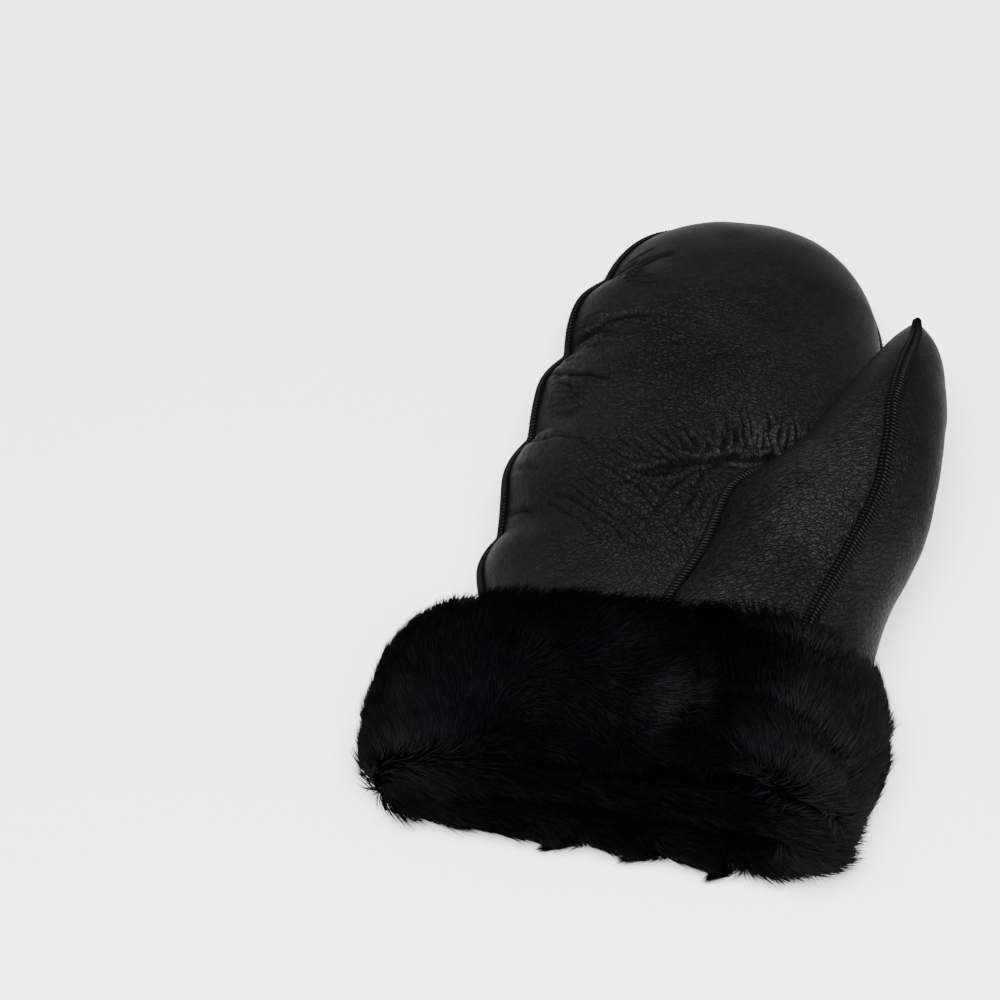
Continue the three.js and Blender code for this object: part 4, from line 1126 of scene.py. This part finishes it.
def waxed_thread(colours):
    """Black waxed thread, twisted, with a soft glint on each stitch."""
    material, tree = blank("black_waxed_thread")
    place = node(tree, "TexCoord").outputs["Object"]
    fibre = node(tree, "TexNoise", {"Vector": place}, Scale=2600.0, Detail=2.0)
    bump = node(tree, "Bump", {"Height": fibre.outputs["Fac"]}, Strength=0.4, Distance=0.0003)
    shader = node(tree, "BsdfPrincipled", {"Normal": bump.outputs[0]}, Roughness=0.45,
                  Base_Color=(*linear(colours.thread), 1), Specular_IOR_Level=0.07)
    node(tree, "OutputMaterial", {"Surface": shader.outputs[0]})
    return material


def matt(name, colour, roughness, specular):
    """One even colour without a pattern: matt white paper; the raw cut edge of the leather under the
    stitches, in the leather's colour without sheen as painted shade between the stitches; and the pile
    between the locks, in the fur's dead black without sheen as painted shade deep in the fur."""
    material, tree = blank(name)
    shader = node(tree, "BsdfPrincipled", Roughness=roughness, Base_Color=(*linear(colour), 1),
                  Specular_IOR_Level=specular)
    node(tree, "OutputMaterial", {"Surface": shader.outputs[0]})
    return material


def black_fur(colours):
    """Black sheared wool with a dull glint: each lock is deep black at its root and lighter towards its tip
    by a painted sheen, set by place and varied at random from lock to lock.
    """
    material, tree = blank("black_wool_fur")
    sheen_and_tone, rise = (
        node(tree, "Attribute", attribute_name=layer).outputs["Fac"] for layer in ("sheen_and_tone", "rise"))
    # Painted sheen: black at each lock's root, towards the sheen colour at its tip.
    share = node(tree, "Math", {0: sheen_and_tone, 1: rise}, operation="MULTIPLY").outputs[0]
    painted_light_tint = node(tree, "Mix", {"Factor": share}, data_type="RGBA")
    painted_light_tint.inputs[6].default_value = (*linear(colours.fur), 1)
    painted_light_tint.inputs[7].default_value = (*linear(colours.fur_sheen), 1)
    shader = node(tree, "BsdfPrincipled", {"Base Color": painted_light_tint.outputs[2]}, Roughness=0.65,
                  Specular_IOR_Level=0.015)
    node(tree, "OutputMaterial", {"Surface": shader.outputs[0]})
    return material


def wool_lining(colours):
    """Clipped black wool on the flesh side of the leather."""
    material, tree = blank("clipped_wool_lining")
    place = node(tree, "TexCoord").outputs["Object"]
    curl = node(tree, "TexNoise", {"Vector": place}, Scale=700.0, Detail=4.0, Roughness=0.7)
    bump = node(tree, "Bump", {"Height": curl.outputs["Fac"]}, Strength=1.0, Distance=0.002)
    shader = node(tree, "BsdfPrincipled", {"Normal": bump.outputs[0]}, Roughness=0.95,
                  Base_Color=(*linear(colours.fur), 1))
    node(tree, "OutputMaterial", {"Surface": shader.outputs[0]})
    return material


def stage(colours, floor_material):
    """Floor, soft light and the camera at the photograph's angle."""
    mesh = bpy.data.meshes.new("floor")
    mesh.from_pydata([(-3, -3, 0), (3, -3, 0), (3, 3, 0), (-3, 3, 0)], [], [(0, 1, 2, 3)])
    floor = bpy.data.objects.new("floor", mesh)
    mesh.materials.append(floor_material)
    bpy.context.scene.collection.objects.link(floor)
    world = bpy.data.worlds.new("soft_daylight")
    bpy.context.scene.world = world
    world.use_nodes = True
    world.node_tree.nodes["Background"].inputs["Color"].default_value = (*linear("#f4f6fa"), 1)
    world.node_tree.nodes["Background"].inputs["Strength"].default_value = 0.32
    for name, place, aim, size, power in (
            ("softbox_above", (0.15, -0.85, 2.0), (0, 0.05, 0), 1.5, 255.0),
            ("softbox_left", (-1.5, 0.35, 0.95), (0, 0, 0.03), 1.0, 3.0),
            ("softbox_right", (1.3, -0.1, 0.7), (0.03, -0.05, 0.03), 0.8, 3.0)):
        light = bpy.data.lights.new(name, "AREA")
        light.size = size
        light.energy = power
        lamp = bpy.data.objects.new(name, light)
        lamp.location = place
        lamp.rotation_mode = "QUATERNION"
        lamp.rotation_quaternion = (Vector(aim) - Vector(place)).to_track_quat("-Z", "Y")
        bpy.context.scene.collection.objects.link(lamp)
    camera = bpy.data.objects.new("camera", bpy.data.cameras.new("camera"))
    bpy.context.scene.collection.objects.link(camera)
    bpy.context.scene.camera = camera
    camera.data.sensor_width = SENSOR
    camera.data.lens = SENSOR * FOCAL_PIXELS / PICTURE_PIXELS
    camera.data.clip_end = 20
    aim_camera(camera)


def aim_camera(camera, azimuth=10.0, elevation=52.0, distance=1.1, seen=(0.69, 0.56)):
    """Places the camera so that the middle of the mitten appears at its place in the picture, without a
    shift."""
    a, e = math.radians(azimuth), math.radians(elevation)
    back = Vector((math.sin(a) * math.cos(e), -math.cos(a) * math.cos(e), math.sin(e)))
    target = Vector(((8 - CENTRE[0]) * MM, (50 - CENTRE[1]) * MM, 30 * MM))
    camera.location = target + back * distance
    camera.rotation_mode = "QUATERNION"
    square = (-back).to_track_quat("-Z", "Y")
    focal = camera.data.lens / camera.data.sensor_width
    ray = Vector(((seen[0] - 0.5) / focal, (0.5 - seen[1]) / focal, -1))
    yaw, pitch = math.atan2(ray.x, -ray.z), math.atan2(ray.y, math.hypot(ray.x, ray.z))
    camera.rotation_quaternion = square @ Euler((-pitch, yaw, 0), "XYZ").to_quaternion()


def length(name, value, description):
    """A size in metres with its own name and description."""
    return bpy.props.FloatProperty(name=name, description=description, default=value, unit="LENGTH",
                                   subtype="DISTANCE", min=0.0, precision=4)


def colour(name, value, description):
    """A colour written as sRGB hex."""
    return bpy.props.StringProperty(name=name, description=description, default=value)


class MittenSizes(bpy.types.PropertyGroup):
    """Sizes of the mitten."""
    hand_length: length("Hand length", 0.224, "From the wrist seam to the fingertips")
    hand_width: length("Hand width", 0.132, "Across the palm without the thumb")
    hand_height: length("Hand height", 0.058, "From the back of the hand to the palm")
    tip_length: length("Tip length", 0.080, "Stretch over which the fingertips round off")
    puff_depth: length("Puff depth", 0.0045, "Swell of the edge between two puckers")
    thumb_length: length("Thumb length", 0.160, "From the wrist seam to the tip of the thumb")
    thumb_width: length("Thumb width", 0.040, "Across the thumb above the crotch")
    thumb_height: length("Thumb height", 0.042, "Through the thumb above the crotch")
    thumb_offset: length("Thumb offset", 0.076, "From the hand's axis to the thumb's axis")
    thumb_tip_length: length("Thumb tip length", 0.052, "Stretch over which the thumb rounds off")
    thumb_level: length("Thumb level", 0.054, "Height of the thumb's axis")
    cuff_length: length("Cuff length", 0.062, "From the wrist seam to the mouth")
    cuff_width: length("Cuff width", 0.188, "Across the fur")
    cuff_height: length("Cuff height", 0.079, "Through the fur")
    mouth_width: length("Mouth width", 0.122, "Opening between the fur lips")
    mouth_height: length("Mouth height", 0.015, "Opening between the fur lips")
    mouth_level: length("Mouth level", 0.024, "Height of the middle of the opening")
    wall: length("Wall", 0.006, "Leather with its clipped wool")
    band_length: length("Band length", 0.024, "Leather hidden in the cuff")
    welt: length("Welt", 0.002, "Radius of a raised seam")
    rim_rise: length("Rim rise", 0.006, "How much higher the rim seam runs by the little finger")
    wrist_tuck: length("Wrist tuck", 0.006, "How far the wrist seam lies under the fur")
    wrist_rise: length("Wrist rise", 0.017, "How much further up it runs on the back")
    wrist_thumb_rise: length("Wrist thumb rise", 0.012, "And further again under the thumb")
    stitch_pitch: length("Stitch pitch", 0.0015, "From one stitch to the next")
    thread: length("Thread", 0.00108, "Thickness of the thread")
    fur_length: length("Fur length", 0.0155, "Length of a lock")
    fur_thickness: length("Fur thickness", 0.00052, "Thickness of a lock")


class MittenColours(bpy.types.PropertyGroup):
    """Colours of the mitten and its floor, as sRGB hex."""
    leather: colour("Leather", "#050505", "Black leather")
    # The leather's own black, and a lighter black that is a painted highlight on the ridges.
    leather_ridge_highlight: colour("Leather, ridge highlight", "#090909", "Painted highlight on the ridges")
    thread: colour("Thread", "#050505", "Waxed thread")
    fur: colour("Fur", "#010102", "Black wool")
    # Colour of the painted sheen on the lightest locks.
    fur_sheen: colour("Fur, painted sheen", "#1d1d1e", "Painted sheen on the lightest locks")
    floor: colour("Floor", "#f7f7f7", "Paper under the mitten")


def finishes(context):
    """The materials, made once and then found by name."""
    colours = context.scene.mitten_colours
    makers = {
        "leather": ("black_grained_leather", grained_leather),
        "thread": ("black_waxed_thread", waxed_thread),
        "fur": ("black_wool_fur", black_fur),
        "pile": ("clipped_wool_lining", wool_lining),
        "floor": ("matt_white_paper", lambda c: matt("matt_white_paper", c.floor, 0.9, 0.5)),
        # The cut edge and the pile have no sheen, as painted shade between the stitches and deep in the fur.
        "cut_edge_and_shade": ("black_cut_edge", lambda c: matt("black_cut_edge", c.leather, 1.0, 0.0)),
        "pile_and_shade": ("black_deep_pile", lambda c: matt("black_deep_pile", c.fur, 1.0, 0.0)),
    }
    return {key: bpy.data.materials.get(name) or maker(colours) for key, (name, maker) in makers.items()}


class MITTEN_OT_leather(bpy.types.Operator):
    """Builds the leather panels of the hand and thumb and the strip at the wrist"""
    bl_idname = "mitten.leather"
    bl_label = "Leather panels"

    def execute(self, context):
        pattern = Pattern(context.scene.mitten_sizes)
        materials = finishes(context)
        leather_panels(pattern, materials)
        wrist_band(pattern, materials)
        return {"FINISHED"}


class MITTEN_OT_seams(bpy.types.Operator):
    """Builds the raised seams with their stitches"""
    bl_idname = "mitten.seams"
    bl_label = "Seams"

    def execute(self, context):
        seams(Pattern(context.scene.mitten_sizes), finishes(context))
        return {"FINISHED"}


class MITTEN_OT_fur(bpy.types.Operator):
    """Builds the fur cuff: its pile and its locks"""
    bl_idname = "mitten.fur"
    bl_label = "Fur cuff"

    def execute(self, context):
        pattern = Pattern(context.scene.mitten_sizes)
        materials = finishes(context)
        fur_backing(pattern, materials)
        quarter = math.pi / 2
        for seed, (name, v_low, v_high, first, last, count) in enumerate(FUR_PATCHES, 1):
            fur_locks(pattern, f"fur_locks_{name}", v_low, v_high, first * quarter, last * quarter,
                      count, seed, materials)
        return {"FINISHED"}


class MITTEN_OT_stage(bpy.types.Operator):
    """Adds the floor, the light and the camera"""
    bl_idname = "mitten.stage"
    bl_label = "Stage"

    def execute(self, context):
        stage(context.scene.mitten_colours, finishes(context)["floor"])
        return {"FINISHED"}


class MITTEN_PT_panel(bpy.types.Panel):
    """Sizes, colours and operators of the mitten"""
    bl_idname = "MITTEN_PT_panel"
    bl_label = "Mitten"
    bl_space_type = "VIEW_3D"
    bl_region_type = "UI"
    bl_category = "Mitten"

    def draw(self, context):
        for group in (context.scene.mitten_sizes, context.scene.mitten_colours):
            for name in group.__annotations__:
                self.layout.prop(group, name)
        for kind in OPERATORS:
            self.layout.operator(kind.bl_idname)


OPERATORS = (MITTEN_OT_leather, MITTEN_OT_seams, MITTEN_OT_fur, MITTEN_OT_stage)
CLASSES = (MittenSizes, MittenColours, *OPERATORS, MITTEN_PT_panel)


def register():
    for kind in CLASSES:
        bpy.utils.register_class(kind)
    bpy.types.Scene.mitten_sizes = bpy.props.PointerProperty(type=MittenSizes)
    bpy.types.Scene.mitten_colours = bpy.props.PointerProperty(type=MittenColours)


def unregister():
    del bpy.types.Scene.mitten_colours
    del bpy.types.Scene.mitten_sizes
    for kind in reversed(CLASSES):
        bpy.utils.unregister_class(kind)


def main():
    register()
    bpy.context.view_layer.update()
    for call in (bpy.ops.mitten.leather, bpy.ops.mitten.seams, bpy.ops.mitten.fur, bpy.ops.mitten.stage):
        call()


if __name__ == "__main__":
    main()
